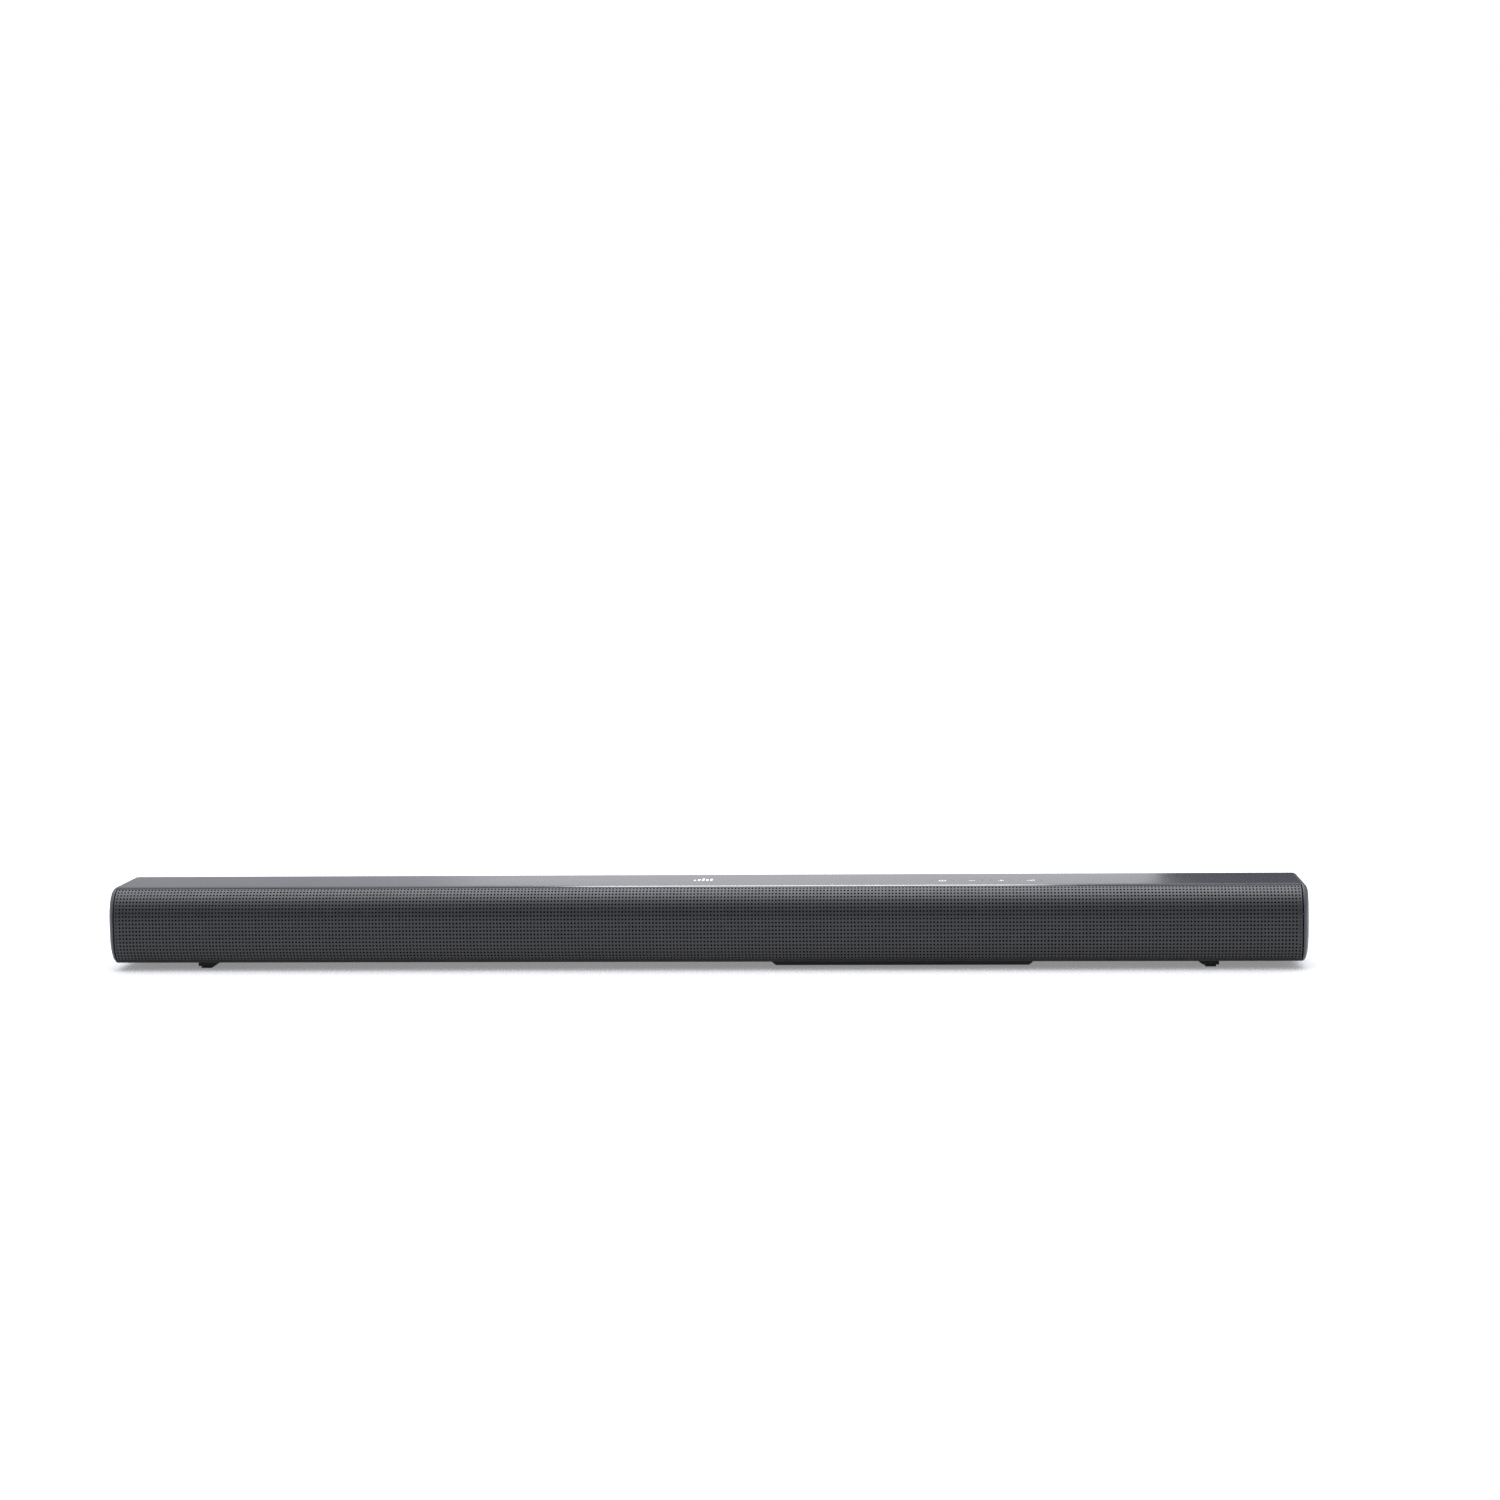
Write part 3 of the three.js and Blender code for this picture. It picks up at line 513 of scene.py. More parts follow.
def soften(node, width):
    """Gives a carried-over solid rounded edges and smooth shading, without touching its mesh."""
    obj = NODES[node]
    if width:
        merge_flats = obj.modifiers.new("flats", "DECIMATE")
        merge_flats.decimate_type, merge_flats.angle_limit = "DISSOLVE", math.radians(1)
        bevel = obj.modifiers.new("edge", "BEVEL")
        bevel.width, bevel.segments = width * MM, 2
        bevel.limit_method, bevel.angle_limit = "ANGLE", math.radians(40)
    shade = obj.modifiers.new("shade", "NODES")
    shade.node_group = SMOOTHING
    flatten = obj.modifiers.new("flatten", "WEIGHTED_NORMAL")
    flatten.keep_sharp = True


# ------------------------------------------------------------------ grille and cloth


def grille_half(name, side, look, shade):
    """Perforated sheet from the middle of the bar to one end, with a plain border and a hem; its
    hole walls take painted shade.
    """
    at, total = nose_path(0, GRILLE_FROM, GRILLE_TO)
    columns = int((GRILLE_STOP - GRILLE_END) // HOLE_PITCH)
    rows = HOLE_ROWS
    dx = (GRILLE_STOP - GRILLE_END) / columns
    ds = (total - 2 * GRILLE_RIM) / rows
    us = np.arange(columns + 1) * dx
    ss = GRILLE_RIM + np.arange(rows + 1) * ds
    turn = 2 * math.pi * (np.arange(HOLE_SIDES) + 0.5) / HOLE_SIDES

    def place(u, s, depth=0.0):
        point, out = at(s)
        flat = point - out * depth
        across = side * np.broadcast_to(u, flat.shape[:-1])
        return np.stack([across, flat[..., 0], flat[..., 1]], -1)

    grid_u, grid_s = np.meshgrid(us, ss)
    points = [place(grid_u, grid_s).reshape(-1, 3)]
    centre_u, centre_s = np.meshgrid(us[:-1] + dx / 2, ss[:-1] + ds / 2)
    ring_u = centre_u[..., None] + HOLE * np.cos(turn)
    ring_s = centre_s[..., None] + HOLE * np.sin(turn)
    for depth in (0, GRILLE_THICK):
        points.append(place(ring_u, ring_s, depth).reshape(-1, 3))
    wide, holes = columns + 1, columns * rows
    first, deep = wide * (rows + 1), holes * HOLE_SIDES
    quarter = HOLE_SIDES // 4
    faces = []
    walls = []
    for j in range(rows):
        for i in range(columns):
            base = first + (j * columns + i) * HOLE_SIDES
            corner = [(j + 1) * wide + i + 1, (j + 1) * wide + i, j * wide + i, j * wide + i + 1]
            for k in range(HOLE_SIDES):
                after = (k + 1) % HOLE_SIDES
                c0, c1 = corner[k // quarter], corner[after // quarter]
                faces.append([base + k, base + after, c1] + ([] if c0 == c1 else [c0]))
                walls.append([base + k, base + k + deep, base + after + deep, base + after])
    count = sum(len(p) for p in points)

    def strip(lines):
        nonlocal count
        start, n = count, len(lines[0])
        for line in lines:
            points.append(line)
            count += len(line)
        for a in range(len(lines) - 1):
            for b in range(n - 1):
                p = start + a * n + b
                faces.append([p, p + 1, p + n + 1, p + n])

    def along(s, depth):
        return place(us, np.full(len(us), s), depth)

    for inner, outer, hem in ((ss[0], 0.0, GRILLE_HEM), (ss[-1], total, total - GRILLE_HEM)):
        strip([along(inner, 0), along(outer, 0),
               along(outer, GRILLE_THICK), along(hem, GRILLE_THICK)])
    edge_s = np.concatenate([[0.0], ss, [total]])
    strip([place(np.full(len(edge_s), u), edge_s, depth) for u, depth in (
        (us[-1], 0), (GRILLE_STOP, 0),
        (GRILLE_STOP, GRILLE_THICK), (GRILLE_STOP - GRILLE_HEM, GRILLE_THICK))])
    obj = raw_object(name, np.concatenate(points), faces + walls)
    obj.data.polygons.foreach_set("material_index", [0] * len(faces) + [1] * len(walls))
    work = bmesh.new()
    work.from_mesh(obj.data)
    bmesh.ops.remove_doubles(work, verts=work.verts, dist=1e-6)
    bmesh.ops.recalc_face_normals(work, faces=work.faces)
    work.to_mesh(obj.data)
    work.free()
    # the hole walls, which take the near-black painted-shade material
    dark = [face.index for face in obj.data.polygons if face.material_index == 1]
    finish_piece(obj, look, replaces=["front_grille"], sharp=50)
    obj.data.materials.append(shade)
    for index in dark:
        obj.data.polygons[index].material_index = 1


def speaker_cloth(look):
    at, total = nose_path(CLOTH_DEPTH, CLOTH_FROM, CLOTH_TO)
    half = SHELL_END - CLOTH_END_GAP
    columns, rows = 120, 40
    grid_u, grid_s = np.meshgrid(np.linspace(-half, half, columns + 1),
                                 np.linspace(0, total, rows + 1))
    flat, _ = at(grid_s)
    points = np.stack([grid_u, flat[..., 0], flat[..., 1]], -1).reshape(-1, 3)
    wide = columns + 1
    faces = [[j * wide + i, (j + 1) * wide + i, (j + 1) * wide + i + 1, j * wide + i + 1]
             for j in range(rows) for i in range(columns)]
    obj = raw_object("speaker_cloth", points, faces)
    finish_piece(obj, look, replaces=["acoustic_cloth"])


# ------------------------------------------------------------------ casing


def end_cap(hand, side, look):
    """A pillowed shell whose rim is rounded where it meets the seam."""
    steps, rim = 20, 0.25
    spots = [(rim, 0.0), (0.0, rim)]
    spots += [(0.0, CAP_THICK * math.sin(math.pi / 2 * i / steps)) for i in range(1, steps + 1)]
    rings = []
    for extra, out in spots:
        turn = math.asin(min(out / CAP_THICK, 1))
        pull = 1 - math.cos(turn)
        inset = {k: v * pull + extra for k, v in CAP_INSET.items()}
        rings.append([(side * (CAP_SEAM + out), y, z) for y, z in body_outline(**inset)])
    obj = raw_object(f"{hand}_cap_shell", *bridge(rings))
    finish_piece(obj, look, replaces=[f"{hand}_end_cap"], sharp=50)


def top_shell(look, polished):
    """The top cover: flat, with a polished chamfer along the grille and its key holes cut out."""
    outline = [
        *brow_arc(WALL, COVER_TO, 90, 12),
        *arc(BACK - RIM, TOP - RIM, RIM, RIM, 0, 90, 12),
        *brow_arc(0, 90, CHAMFER_FROM, 8),
        *brow_arc(0, COVER_TO, COVER_TO, 1)[:1],
    ]
    shell = prism("top_shell", outline, "X", -SHELL_END, SHELL_END)
    size = [s + 2 * KEY_SEAM for s in KEY_SIZE]
    holes = [prism("hole", rounded((x, KEY_Y), size, KEY_CORNER + KEY_SEAM), "Z", TOP - 5, TOP + 1)
             for x in KEY_X]
    carve(shell, holes)
    finish_piece(shell, look, replaces=["top_cover"], edge=0.12, sharp=40)
    shell.data.set_sharp_from_angle(angle=math.radians(6))
    shell.data.materials.append(polished)
    for face in shell.data.polygons:
        if face.normal.z > 0.8 and face.normal.y < -0.2:
            face.material_index = 1


KEY_BASE, KEY_FLANGE, KEY_STEM_BASE = 59.6, (59.1, 60.2), 58.5  # heights
KEY_LEDGE = 1.3  # the flange reaches this far beyond the cap


def key_cap(key, x, look):
    """A cap with the flange that holds it under the cover and the stem that meets its switch."""
    cap = prism(f"{key}_key", rounded((x, KEY_Y), KEY_SIZE, KEY_CORNER), "Z", KEY_BASE, TOP)
    flange_size = [s + 2 * KEY_LEDGE for s in KEY_SIZE]
    flange = prism("flange", rounded((x, KEY_Y), flange_size, KEY_CORNER + 1), "Z", *KEY_FLANGE)
    stem = lathe("stem", [(0, -0.2), (2, 0), (2, 1.4), (0, 1.5)], (x, KEY_Y, KEY_STEM_BASE))
    carve(cap, [flange, stem], "UNION")
    finish_piece(cap, look, f"{key}_button", [f"{key}_button"], edge=0.1,
                 sharp=20)


def band(centre, radius, width, start, end, steps=24):
    """Outline of a curved stroke."""
    outer = arc(*centre, radius + width / 2, radius + width / 2, start, end, steps)
    inner = arc(*centre, radius - width / 2, radius - width / 2, end, start, steps)
    return outer + inner


def bar(x0, y0, x1, y1):
    return [(x0, y0), (x1, y0), (x1, y1), (x0, y1)]


def printed(name, outlines, look, body=ROOT):
    parts = [prism("stroke", outline, "Z", TOP - MARK_SINK, TOP + MARK_THICK)
             for outline in outlines]
    finish_piece(merge(name, parts), look, body)


def key_marks(look):
    """Power ring, minus, plus, and an arrow that enters a bracket."""
    r, w = 2.3, 0.8
    x = dict(zip(KEYS, KEY_X))
    y = KEY_Y
    shapes = {
        "power": [band((x["power"], y - 0.3), r, w, -235, 55),
                  bar(x["power"] - w / 2, y + 0.2, x["power"] + w / 2, y + 2.9)],
        "volume_down": [bar(x["volume_down"] - 2.2, y - w / 2, x["volume_down"] + 2.2, y + w / 2)],
        "volume_up": [[(x["volume_up"] + a, y + b) for a, b in (
            (-2.2, -w / 2), (-w / 2, -w / 2), (-w / 2, -2.2), (w / 2, -2.2), (w / 2, -w / 2),
            (2.2, -w / 2), (2.2, w / 2), (w / 2, w / 2), (w / 2, 2.2), (-w / 2, 2.2),
            (-w / 2, w / 2), (-2.2, w / 2))]],
        "source": [[(x["source"] + a, y + b) for a, b in (
            (0.2, 2.1), (2.7, 2.1), (2.7, -2.1), (0.2, -2.1), (0.2, -1.6), (2.2, -1.6),
            (2.2, 1.6), (0.2, 1.6))],
            [(x["source"] + a, y + b) for a, b in (
                (-3.0, -w / 2), (-0.3, -w / 2), (-0.3, -1.2), (1.3, 0), (-0.3, 1.2),
                (-0.3, w / 2), (-3.0, w / 2))]],
    }
    for key, outlines in shapes.items():
        printed(f"{key}_mark", outlines, look, f"{key}_button")


def front_mark(look):
    """Plain equaliser bars near the front edge of the cover."""
    heights = (4.2, 7.6, 10.6, 6.4, 8.8)
    wide, step, low = 1.7, 3.1, 4.6
    left = -step * (len(heights) - 1) / 2
    printed("cover_mark", [rounded((left + i * step, low + tall / 2), (wide, tall), 0.8, 6)
                           for i, tall in enumerate(heights)], look)


def screw(name, at, axis, facing, look, radius, replaces=(), shank=2.0):
    """Pan head with a cross recess; facing is the direction along the axis that the head looks."""
    rows = [(0, -shank), (radius * 0.48, -shank), (radius * 0.48, 0), (radius, 0),
            (radius, radius * 0.2), (radius * 0.86, radius * 0.42), (radius * 0.55, radius * 0.55),
            (0, radius * 0.6)]
    head = lathe(name, [(r, facing * a) for r, a in rows], at, axis, 28)
    reach, thin = radius * 0.62, radius * 0.13
    z0, z1 = sorted((facing * radius * 0.25, facing * radius))
    cutters = []
    for a, b in ((reach, thin), (thin, reach)):
        if axis == "Z":
            low, high = (at[0] - a, at[1] - b, at[2] + z0), (at[0] + a, at[1] + b, at[2] + z1)
        else:
            low, high = (at[0] - a, at[1] + z0, at[2] - b), (at[0] + a, at[1] + z1, at[2] + b)
        cutters.append(slab("cross", low, high))
    carve(head, cutters)
    finish_piece(head, look, replaces=replaces, sharp=40)


PLATE_AT, PLATE_SIZE, PLATE_THICK = (-75, 34), (74, 24), 0.15


def rating_plate(look):
    """Blank label on the back wall."""
    plate = prism("rating_plate", rounded(PLATE_AT, PLATE_SIZE, 1.5), "Y",
                  BACK - MARK_SINK, BACK + PLATE_THICK)
    finish_piece(plate, look, edge=0.04)


BACK_SCREWS, BACK_SCREW_Z = (-425, -255, -150, 20, 255, 425), 52
FLOOR_SCREWS = ((-432, -8), (-432, 26), (-200, 30), (-60, -12), (20, 30), (300, 30), (432, -8),
                (432, 26))
TRAY_SCREWS = ((62, -12), (239, -12), (62, 22), (239, 22), (150, 22))
SCREW_SINK = {"back": 0.8, "floor": 0.9, "tray": 0.6}  # how far a head sits in its face


def casing_screws(dark, plated):
    """Screws that hold the back, the bottom panel and the tray, and the two bracket screws."""
    for i, x in enumerate(BACK_SCREWS):
        at = (x, BACK - SCREW_SINK["back"], BACK_SCREW_Z)
        screw(f"back_screw_{i + 1}", at, "Y", 1, dark, 2.2)
    for i, (x, y) in enumerate(FLOOR_SCREWS):
        screw(f"floor_screw_{i + 1}", (x, y, BELLY + SCREW_SINK["floor"]), "Z", -1, dark, 2.4)
    for i, (x, y) in enumerate(TRAY_SCREWS):
        screw(f"tray_screw_{i + 1}", (x, y, TRAY_BOTTOM + SCREW_SINK["tray"]), "Z", -1, dark, 1.8)
    for hand, side in (("left", -1), ("right", 1)):
        screw(f"{hand}_bracket_fixing", (side * BRACKET_X, BRACKET_SEAT, BRACKET_Z), "Y", 1, plated,
              4.0, replaces=[f"{hand}_bracket_screw"], shank=5.5)


# ------------------------------------------------------------------ sockets


INLET_X, INLET_Z, INLET_PITCH, INLET_DEEP = 78, SOCKET_BASE + 7, 8.6, 14
# A tongue: its x and z ranges, how far its root and tip lie behind the mouth, its contacts, and
# the side they lie on.
VIDEO_TONGUE = ((130.6, 141.4), (25.1, 26.1), (10, 2.2), 9, 1)
SERVICE_TONGUE = ((158.8, 169.2), (26.2, 27.9), (12, 1.6), 4, -1)


def socket_tongue(name, spec, look, gold):
    (x0, x1), (z0, z1), (root, tip), count, facing = spec
    y0, y1 = SOCKET_MOUTH - root, SOCKET_MOUTH - tip
    finish_piece(slab(f"{name}_tongue", (x0, y0, z0), (x1, y1, z1)), look,
                 edge=0.15)
    step = (x1 - x0) / (count + 0.6)
    half = step * 0.28
    face = z1 if facing > 0 else z0
    low, high = sorted((face - facing * 0.02, face + facing * 0.1))
    spots = [x0 + step * (i + 0.8) for i in range(count)]
    strips = [slab("strip", (x - half, y0 + 0.5, low), (x + half, y1 - 0.7, high)) for x in spots]
    finish_piece(merge(f"{name}_contacts", strips), gold)


def socket_parts(plated, gold, black, white):
    """Pins, tongues and contacts inside the sockets of the connector panel."""
    for hand, side in (("left", -1), ("right", 1)):
        pin = lathe(f"inlet_pin_{hand}", [(1.27, 0.05), (1.27, 8.7), (0.9, 9.3), (0.3, 9.5)],
                    (INLET_X + side * INLET_PITCH / 2, SOCKET_MOUTH - INLET_DEEP, INLET_Z), "Y", 24)
        finish_piece(pin, plated)
    socket_tongue("video", VIDEO_TONGUE, black, gold)
    socket_tongue("service", SERVICE_TONGUE, white, gold)


# ------------------------------------------------------------------ speakers


def track(half_length, half_height, y, centre, steps=16):
    """Racetrack ring in the plane y."""
    straight = half_length - half_height
    ends = ((1, -90), (-1, 90))
    return [(x, y, z) for side, start in ends for x, z in
            arc(centre[0] + side * straight, centre[1], half_height, half_height,
                start, start + 180, steps)]


CAP_EDGE, CONE_EDGE = (9.4, 9.2), (35.2, 13.2)  # half length and half height of each track
CAP_PEAK, CAP_SEAT, CONE_FALL = -20.6, -17.6, 8.3  # y of the dust cap, and the cone's reach
COIL_END = -5.9  # y of the voice coil former's rear end
RIPPLES, RIPPLE_HIGH = 3, 0.12  # ribs across the cone


def woofer_cone(name, centre, look):
    """Dust cap, ribbed cone and voice coil former."""
    rows = [(CAP_EDGE[0] * t, CAP_EDGE[1] * t, CAP_PEAK + (CAP_SEAT - CAP_PEAK) * t * t)
            for t in (0.05, 0.25, 0.45, 0.65, 0.85, 1.0)]
    steps = 20
    for i in range(1, steps + 1):
        t = i / steps
        ripple = RIPPLE_HIGH * math.sin(t * math.pi * 2 * RIPPLES) * math.sin(t * math.pi)
        rows.append((CAP_EDGE[0] + (CONE_EDGE[0] - CAP_EDGE[0]) * t,
                     CAP_EDGE[1] + (CONE_EDGE[1] - CAP_EDGE[1]) * t,
                     CAP_SEAT - CONE_FALL * t ** 1.08 + ripple))
    rows += [(*CONE_EDGE, -25.1), (9.9, 9.7, -16.6), (8.8, 8.8, -16), (8.8, 8.8, COIL_END),
             (8, 8, COIL_END), (8, 8, -16.8), (5.6, 5.6, -18.9), (0.5, 0.5, -19.7)]
    rings = [track(a, b, y, centre) for a, b, y in rows]
    cone = raw_object(f"{name}_woofer_diaphragm", *bridge(rings))
    finish_piece(cone, look, f"{name}_cone", [f"{name}_woofer_cone"],
                 sharp=40)


ROLL_REACH, ROLL_HIGH, ROLL_THICK = 2.05, 2.3, 0.6
ROLL_OUTER, ROLL_INNER = (42.6, 20.1), (35.6, 13.6)
ROLL_MIDDLE, ROLL_DROP = 38.35, 22.35  # its crest along the length, and length less height
ROLL_FOOT, ROLL_RISE = -25.95, -26.05  # y of its flat edges, and of the roll's springing


def woofer_surround(name, centre, look):
    """Half-roll that follows the basket at its outer edge and the cone at its inner edge."""
    front = [(*ROLL_OUTER, ROLL_FOOT)]
    for i in range(15):
        turn = math.pi * i / 14
        reach = ROLL_MIDDLE + ROLL_REACH * math.cos(turn)
        front.append((reach, reach - ROLL_DROP, ROLL_RISE - ROLL_HIGH * math.sin(turn)))
    front.append((*ROLL_INNER, ROLL_FOOT))
    rows = front + [(a, b, y + ROLL_THICK) for a, b, y in reversed(front)]
    rings = [track(a, b, y, centre) for a, b, y in rows]
    obj = raw_object(f"{name}_woofer_roll", *bridge(rings, closed=True))
    finish_piece(obj, look, None, [f"{name}_woofer_surround"], sharp=60)
    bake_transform(obj)


def woofer_basket(name, centre, look):
    """Flange, sloping wall and rear plate with a hole for the voice coil."""
    rows = [(46, 22, -26), (46, 22, -24.3), (41, 19, -24.3), (38, 17.5, -12), (24, 15, -3.2),
            (10.2, 10.2, -3.2), (10.2, 10.2, -5), (22.5, 13.6, -5), (36.6, 16.1, -12.6),
            (39.6, 17.6, -24.8), (43, 20.5, -24.8), (43, 20.5, -26)]
    rings = [track(a, b, y, centre, 24) for a, b, y in rows]
    obj = raw_object(f"{name}_woofer_basket", *bridge(rings, closed=True))
    finish_piece(obj, look, replaces=[f"{name}_woofer_frame"], edge=0.2, sharp=25)


def turned_magnet(name, x, look):
    """Top plate, ferrite ring and back plate, turned as one."""
    rows = [(0, -2.9), (15, -2.9), (15, -0.4), (17, -0.4), (17, 7.8), (15.5, 7.8), (15.5, 11.1),
            (0, 11.1)]
    obj = lathe(f"{name}_magnet_stack", rows, (x, 0, SPEAKER_Z), "Y", 48)
    finish_piece(obj, look, replaces=[f"{name}_woofer_magnet"], edge=0.3)


def tweeter_body(hand, x, look):
    """Flange with a short horn round the dome's seat, and the magnet cup behind it."""
    rows = [(0, -23.2), (8.6, -23), (9.4, -23), (15, -25.6), (17.5, -26), (17.5, -24.3),
            (12.5, -24.3), (12.5, -9), (14, -9), (14, -2), (0, -2)]
    obj = lathe(f"{hand}_tweeter_body", rows, (x, 0, SPEAKER_Z), "Y", 48)
    finish_piece(obj, look, replaces=[f"{hand}_tweeter"], edge=0.15)


DOME_SEAT, DOME_RADIUS, DOME_HIGH = -23.2, 8.0, 2.3


def tweeter_dome(hand, x, look):
    rows = [(8.5, 0.9), (8.3, 0.2)]
    for i in range(9):
        turn = math.pi / 2 * i / 8
        rows.append((DOME_RADIUS * math.cos(turn), -DOME_HIGH * math.sin(turn)))
    dome = lathe(f"{hand}_tweeter_dome", rows, (x, DOME_SEAT, SPEAKER_Z), "Y", 40)
    finish_piece(dome, look, sharp=60)


# ------------------------------------------------------------------ electronics


CORE_X, CORE_Y, CORE_TALL = (-4, 30), 12, 24  # core: x range, half depth, height
WINDOW_X, WINDOW_Z = (0.7, 25.3), (2.7, 21.3)  # the winding's room in it
COIL_SIZE, COIL_CORNER, COIL_Y = (24, 18), 4, 15


def transformer(ferrite, tape):
    base = SOCKET_BASE
    core = slab("transformer_core", (CORE_X[0], -CORE_Y, base),
                (CORE_X[1], CORE_Y, base + CORE_TALL))
    carve(core, [slab("window", (WINDOW_X[0], -COIL_Y - 1, base + WINDOW_Z[0]),
                      (WINDOW_X[1], COIL_Y + 1, base + WINDOW_Z[1]))])
    finish_piece(core, ferrite, replaces=["power_transformer"], edge=0.5)
    middle = (sum(WINDOW_X) / 2, base + CORE_TALL / 2)
    coil = prism("transformer_winding", rounded(middle, COIL_SIZE, COIL_CORNER), "Y",
                 -COIL_Y, COIL_Y)
    finish_piece(coil, tape, replaces=["power_transformer"], edge=0.6)


CAN_X, CAN_TALL = 50, 28.1


def capacitor(sleeve, metal):
    """Sleeved can with a rolled groove, and its scored aluminium top."""
    rows = [(0.5, 0), (8.4, 0), (9, 0.6), (9, 24), (8.3, 24.7), (8.3, 25.3), (9, 26), (9, 27.5),
            (8.5, CAN_TALL), (0.5, CAN_TALL)]
    body = lathe("capacitor_can", rows, (CAN_X, 0, SOCKET_BASE))
    finish_piece(body, sleeve, replaces=["bulk_capacitor"])
    lid = SOCKET_BASE + CAN_TALL
    top = lathe("capacitor_top", [(0.5, 0), (7.4, 0), (7.4, 0.12), (0.5, 0.12)], (CAN_X, 0, lid))
    carve(top, [slab("vent", (CAN_X - a, -b, lid + 0.05), (CAN_X + a, b, lid + 0.4))
                for a, b in ((5, 0.2), (0.2, 5))])
    finish_piece(top, metal)


CELL, JITTER, CAN_SHARE = 7.5, 0.4, 0.35


def board_parts(name, areas, black, sleeve, rng):
    """Chips and small capacitors, one to a cell of a grid over each free area."""
    chips, cans = [], []
    for x0, x1, y0, y1 in areas:
        for i in range(int((x1 - x0) // CELL)):
            for j in range(int((y1 - y0) // CELL)):
                x = x0 + CELL * (i + 0.5) + rng.uniform(-JITTER, JITTER)
                y = y0 + CELL * (j + 0.5) + rng.uniform(-JITTER, JITTER)
                if rng.random() < CAN_SHARE:
                    tall = rng.uniform(4.5, 7)
                    rows = [(0.2, 0), (2.3, 0), (2.5, 0.3), (2.5, tall - 0.4), (2.2, tall),
                            (0.2, tall)]
                    cans.append(lathe("can", rows, (x, y, BOARD_TOP), sides=20))
                else:
                    wide, deep = rng.uniform(2.0, 5.6), rng.uniform(1.4, 4.6)
                    tall = rng.uniform(0.7, 1.6)
                    chips.append(slab("chip", (x - wide / 2, y - deep / 2, BOARD_TOP),
                                      (x + wide / 2, y + deep / 2, BOARD_TOP + tall)))
    finish_piece(merge(f"{name}_chips", chips), black, edge=0.12)
    finish_piece(merge(f"{name}_capacitors", cans), sleeve)


# ------------------------------------------------------------------ making it all

add_camera()
add_studio()
SMOOTHING = smoothing_group()

cover_paint = material("cover_paint", (0.021, 0.0225, 0.029), 0.31, grain=(1500, 0.003),
                       mottle=(9, 0.03), rough_spread=0.012, specular=0.54)
cover_edge = material("cover_edge", (0.014, 0.015, 0.019), 0.15, grain=(1500, 0.001),
                      rough_spread=0.01, specular=0.24)
cap_paint = material("cap_paint", (0.040, 0.041, 0.048), 0.40, grain=(1500, 0.015))
moulded = material("moulded_plastic", (0.013, 0.0135, 0.0155), 0.5, grain=(1300, 0.03))
# dark plastic of the bottom panel and electronics cover, darkened further than the other mouldings
# as painted shade under the bar
panel_plastic_painted_shade = material("panel_plastic_painted_shade", (0.007, 0.0072, 0.0085), 0.6, grain=(1300, 0.03),
                         specular=0.25)
steel_coat = material("powder_coat", (0.0078, 0.0081, 0.0105), 0.34, grain=(2600, 0.02),
                      specular=0.55)
# painted shade: near-black, dull walls inside the grille's holes, so that the holes read darker
hole_wall_painted_shade = material("hole_wall_painted_shade", (0.002, 0.002, 0.0022), 0.9, specular=0.1)
black_knit = woven("black_knit", (0.004, 0.004, 0.0045), 0.5)
rubber = material("rubber", (0.010, 0.010, 0.0105), 0.8, grain=(2200, 0.03))
mark_print = material("mark_print", (0.86, 0.87, 0.88), 0.45, grain=(3000, 0.005),
                      mottle=(200, 0.03))
steel_plate = material("zinc_plate", (0.55, 0.56, 0.58), 0.28, metal=1, grain=(1800, 0.01))
black_screw = material("black_screw", (0.03, 0.03, 0.033), 0.35, metal=0.6, grain=(1800, 0.01))

grille_half("grille_right_half", 1, steel_coat, hole_wall_painted_shade)
grille_half("grille_left_half", -1, steel_coat, hole_wall_painted_shade)
speaker_cloth(black_knit)
end_cap("left", -1, cap_paint)
end_cap("right", 1, cap_paint)
top_shell(cover_paint, cover_edge)
for key, x in zip(KEYS, KEY_X):
    key_cap(key, x, cover_paint)
key_marks(mark_print)
front_mark(mark_print)

smooth_plastic = material("smooth_plastic", (0.012, 0.012, 0.013), 0.38, grain=(1500, 0.01))
cream_plastic = material("cream_plastic", (0.62, 0.61, 0.58), 0.4, grain=(1500, 0.01))
label_film = material("label_film", (0.10, 0.103, 0.11), 0.34, grain=(2400, 0.01),
                      mottle=(25, 0.04))
gold = material("gold_plate", (0.83, 0.6, 0.25), 0.25, metal=1, grain=(2000, 0.008))
aluminium = material("anodised_fins", (0.50, 0.51, 0.53), 0.36, metal=1, grain=(900, 0.02),
                     brushed=(0.05, 1, 1))
ferrite = material("ferrite", (0.045, 0.045, 0.05), 0.5, metal=0.3, grain=(2200, 0.05))
winding_tape = material("winding_tape", (0.62, 0.38, 0.06), 0.4, grain=(700, 0.05),
                        brushed=(1, 9, 1))
blue_sleeve = material("capacitor_sleeve", (0.018, 0.03, 0.11), 0.3, grain=(900, 0.01))
cone_pulp = material("cone_skin", (0.014, 0.014, 0.015), 0.7, grain=(2400, 0.08),
                     mottle=(300, 0.12))
soft_rubber = material("surround_rubber", (0.009, 0.009, 0.0095), 0.6, grain=(1800, 0.03))
dome_silk = woven("dome_silk", (0.01, 0.01, 0.011), 0.3, rough=0.7)
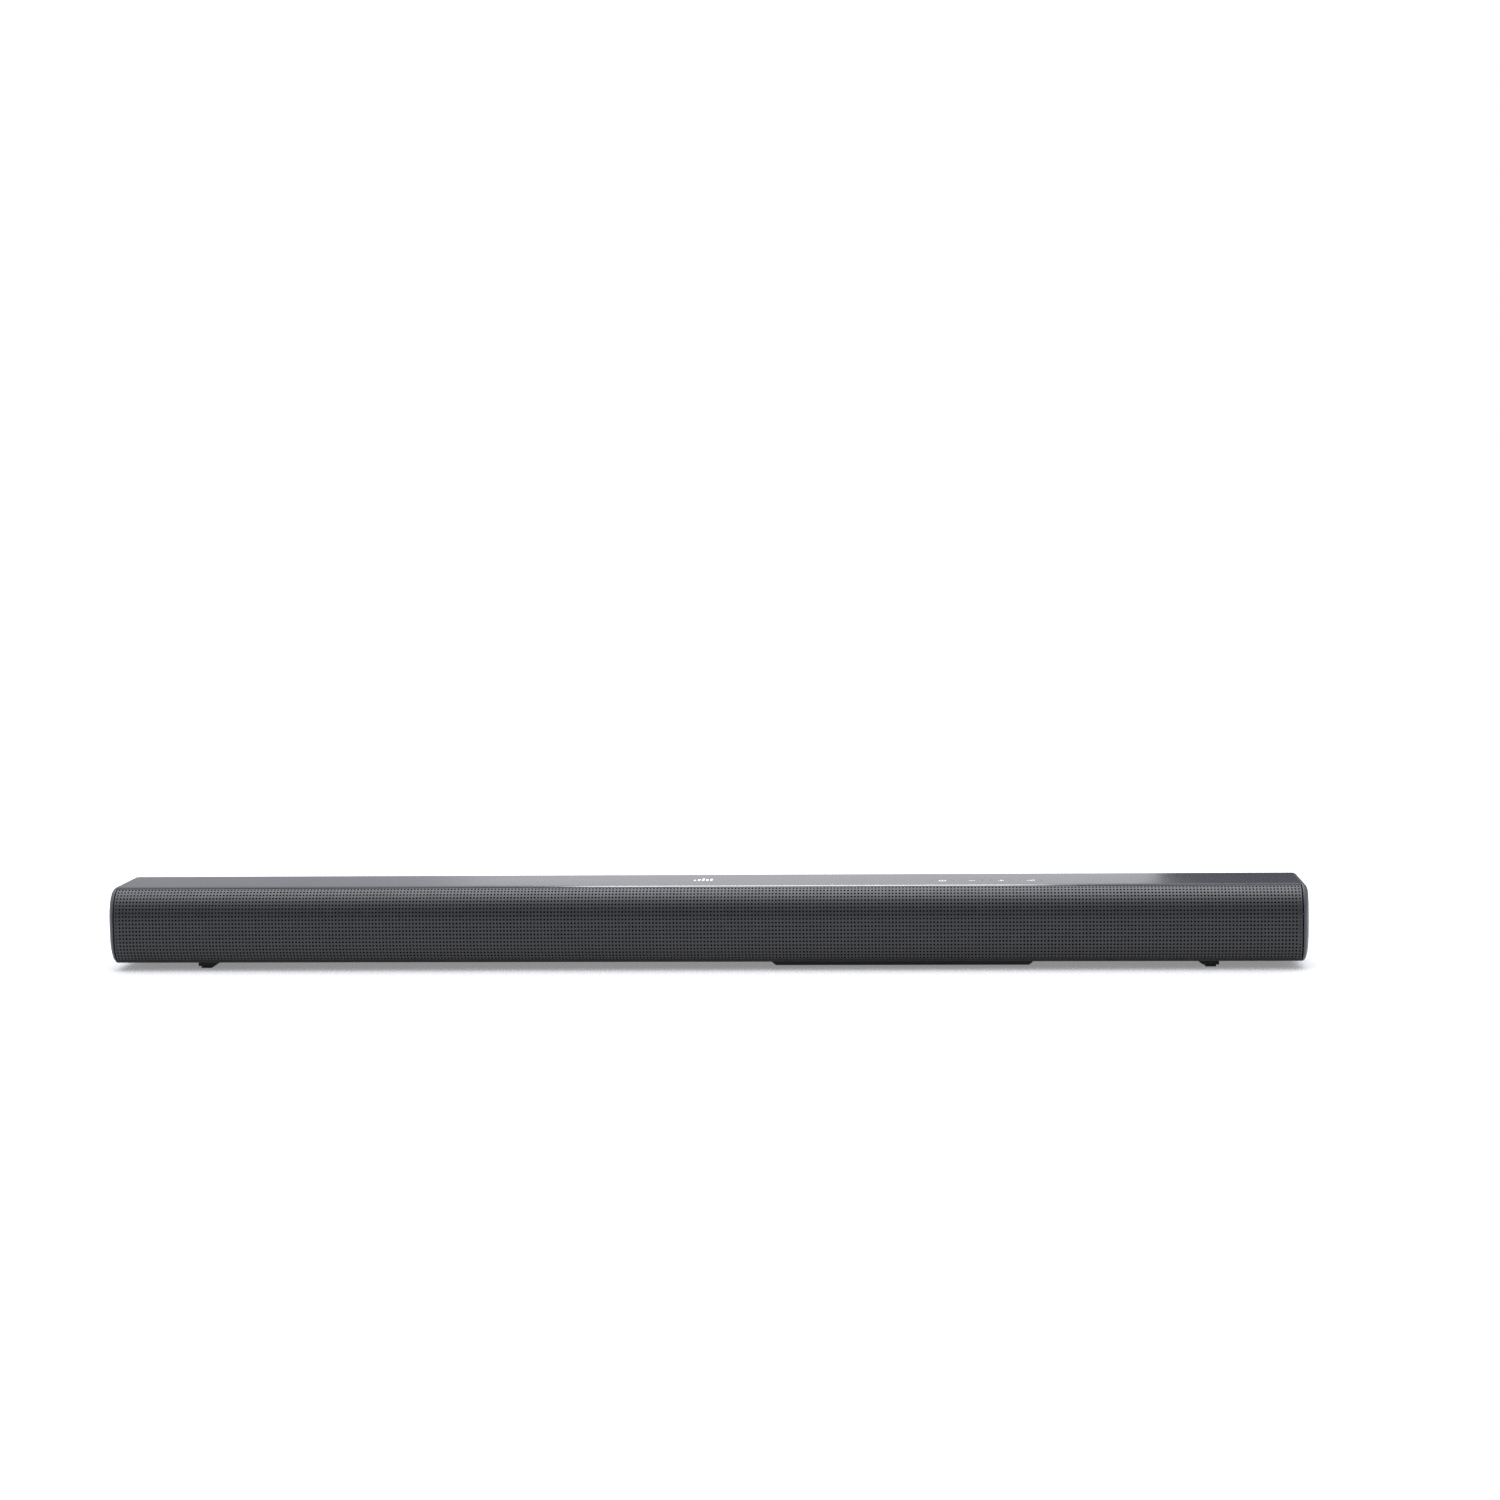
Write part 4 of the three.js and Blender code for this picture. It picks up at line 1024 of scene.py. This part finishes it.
basket = material("basket_plastic", (0.022, 0.022, 0.024), 0.5, grain=(1400, 0.05),
                  mottle=(90, 0.12))
mask_green = circuit_board("solder_mask", (0.012, 0.075, 0.035))
lead_red = material("lead_sheath", (0.12, 0.010, 0.009), 0.4, grain=(900, 0.03))

rating_plate(label_film)
casing_screws(black_screw, steel_plate)
socket_parts(steel_plate, gold, smooth_plastic, cream_plastic)
for hand, side in (("left", -1), ("right", 1)):
    for place, x in WOOFER_X.items():
        woofer_cone(f"{hand}_{place}", (side * x, SPEAKER_Z), cone_pulp)
        woofer_surround(f"{hand}_{place}", (side * x, SPEAKER_Z), soft_rubber)
        woofer_basket(f"{hand}_{place}", (side * x, SPEAKER_Z), basket)
        turned_magnet(f"{hand}_{place}", side * x, ferrite)
    tweeter_body(hand, side * TWEETER_X, basket)
    tweeter_dome(hand, side * TWEETER_X, dome_silk)
transformer(ferrite, winding_tape)
capacitor(blue_sleeve, aluminium)
rng = np.random.default_rng(7)
FREE_AREAS = {"power_board": [(-42, -8, -14, 14), (62, 92, -16, -1)],
              "main_board": [(98, 116, -15, 8), (118, 193, 1.5, 9.5)]}
for board, areas in FREE_AREAS.items():
    board_parts(board, areas, smooth_plastic, blue_sleeve, rng)

LOOKS = {
    (moulded, 0.0): ["rear_cabinet", "front_baffle"],
    # the bottom panel and electronics cover take the plastic darkened with painted shade
    (panel_plastic_painted_shade, 0.3): ["bottom_panel", "electronics_cover"],
    (moulded, 0.25): ["connector_panel"],
    (rubber, 0.5): ["left_foot", "right_foot"],
    (rubber, 0.3): ["left_foot_pad", "right_foot_pad"],
    (smooth_plastic, 0.2): [f"{key}_switch" for key in KEYS] + ["power_inlet", "optical_socket"],
    (cream_plastic, 0.15): [f"{key}_plunger" for key in KEYS],
    (mask_green, 0.0): ["main_board", "power_board", "button_board", "indicator_board"],
    (aluminium, 0.15): ["heat_sink"],
    (steel_plate, 0.15): ["video_socket", "service_socket"],
    (smooth_plastic, 0.1): ["optical_shutter"],
    (lead_red, 0.0): ["left_speaker_lead", "right_speaker_lead"],
}
for (look, width), nodes in LOOKS.items():
    for node in nodes:
        paint_node(node, look)
        soften(node, width)
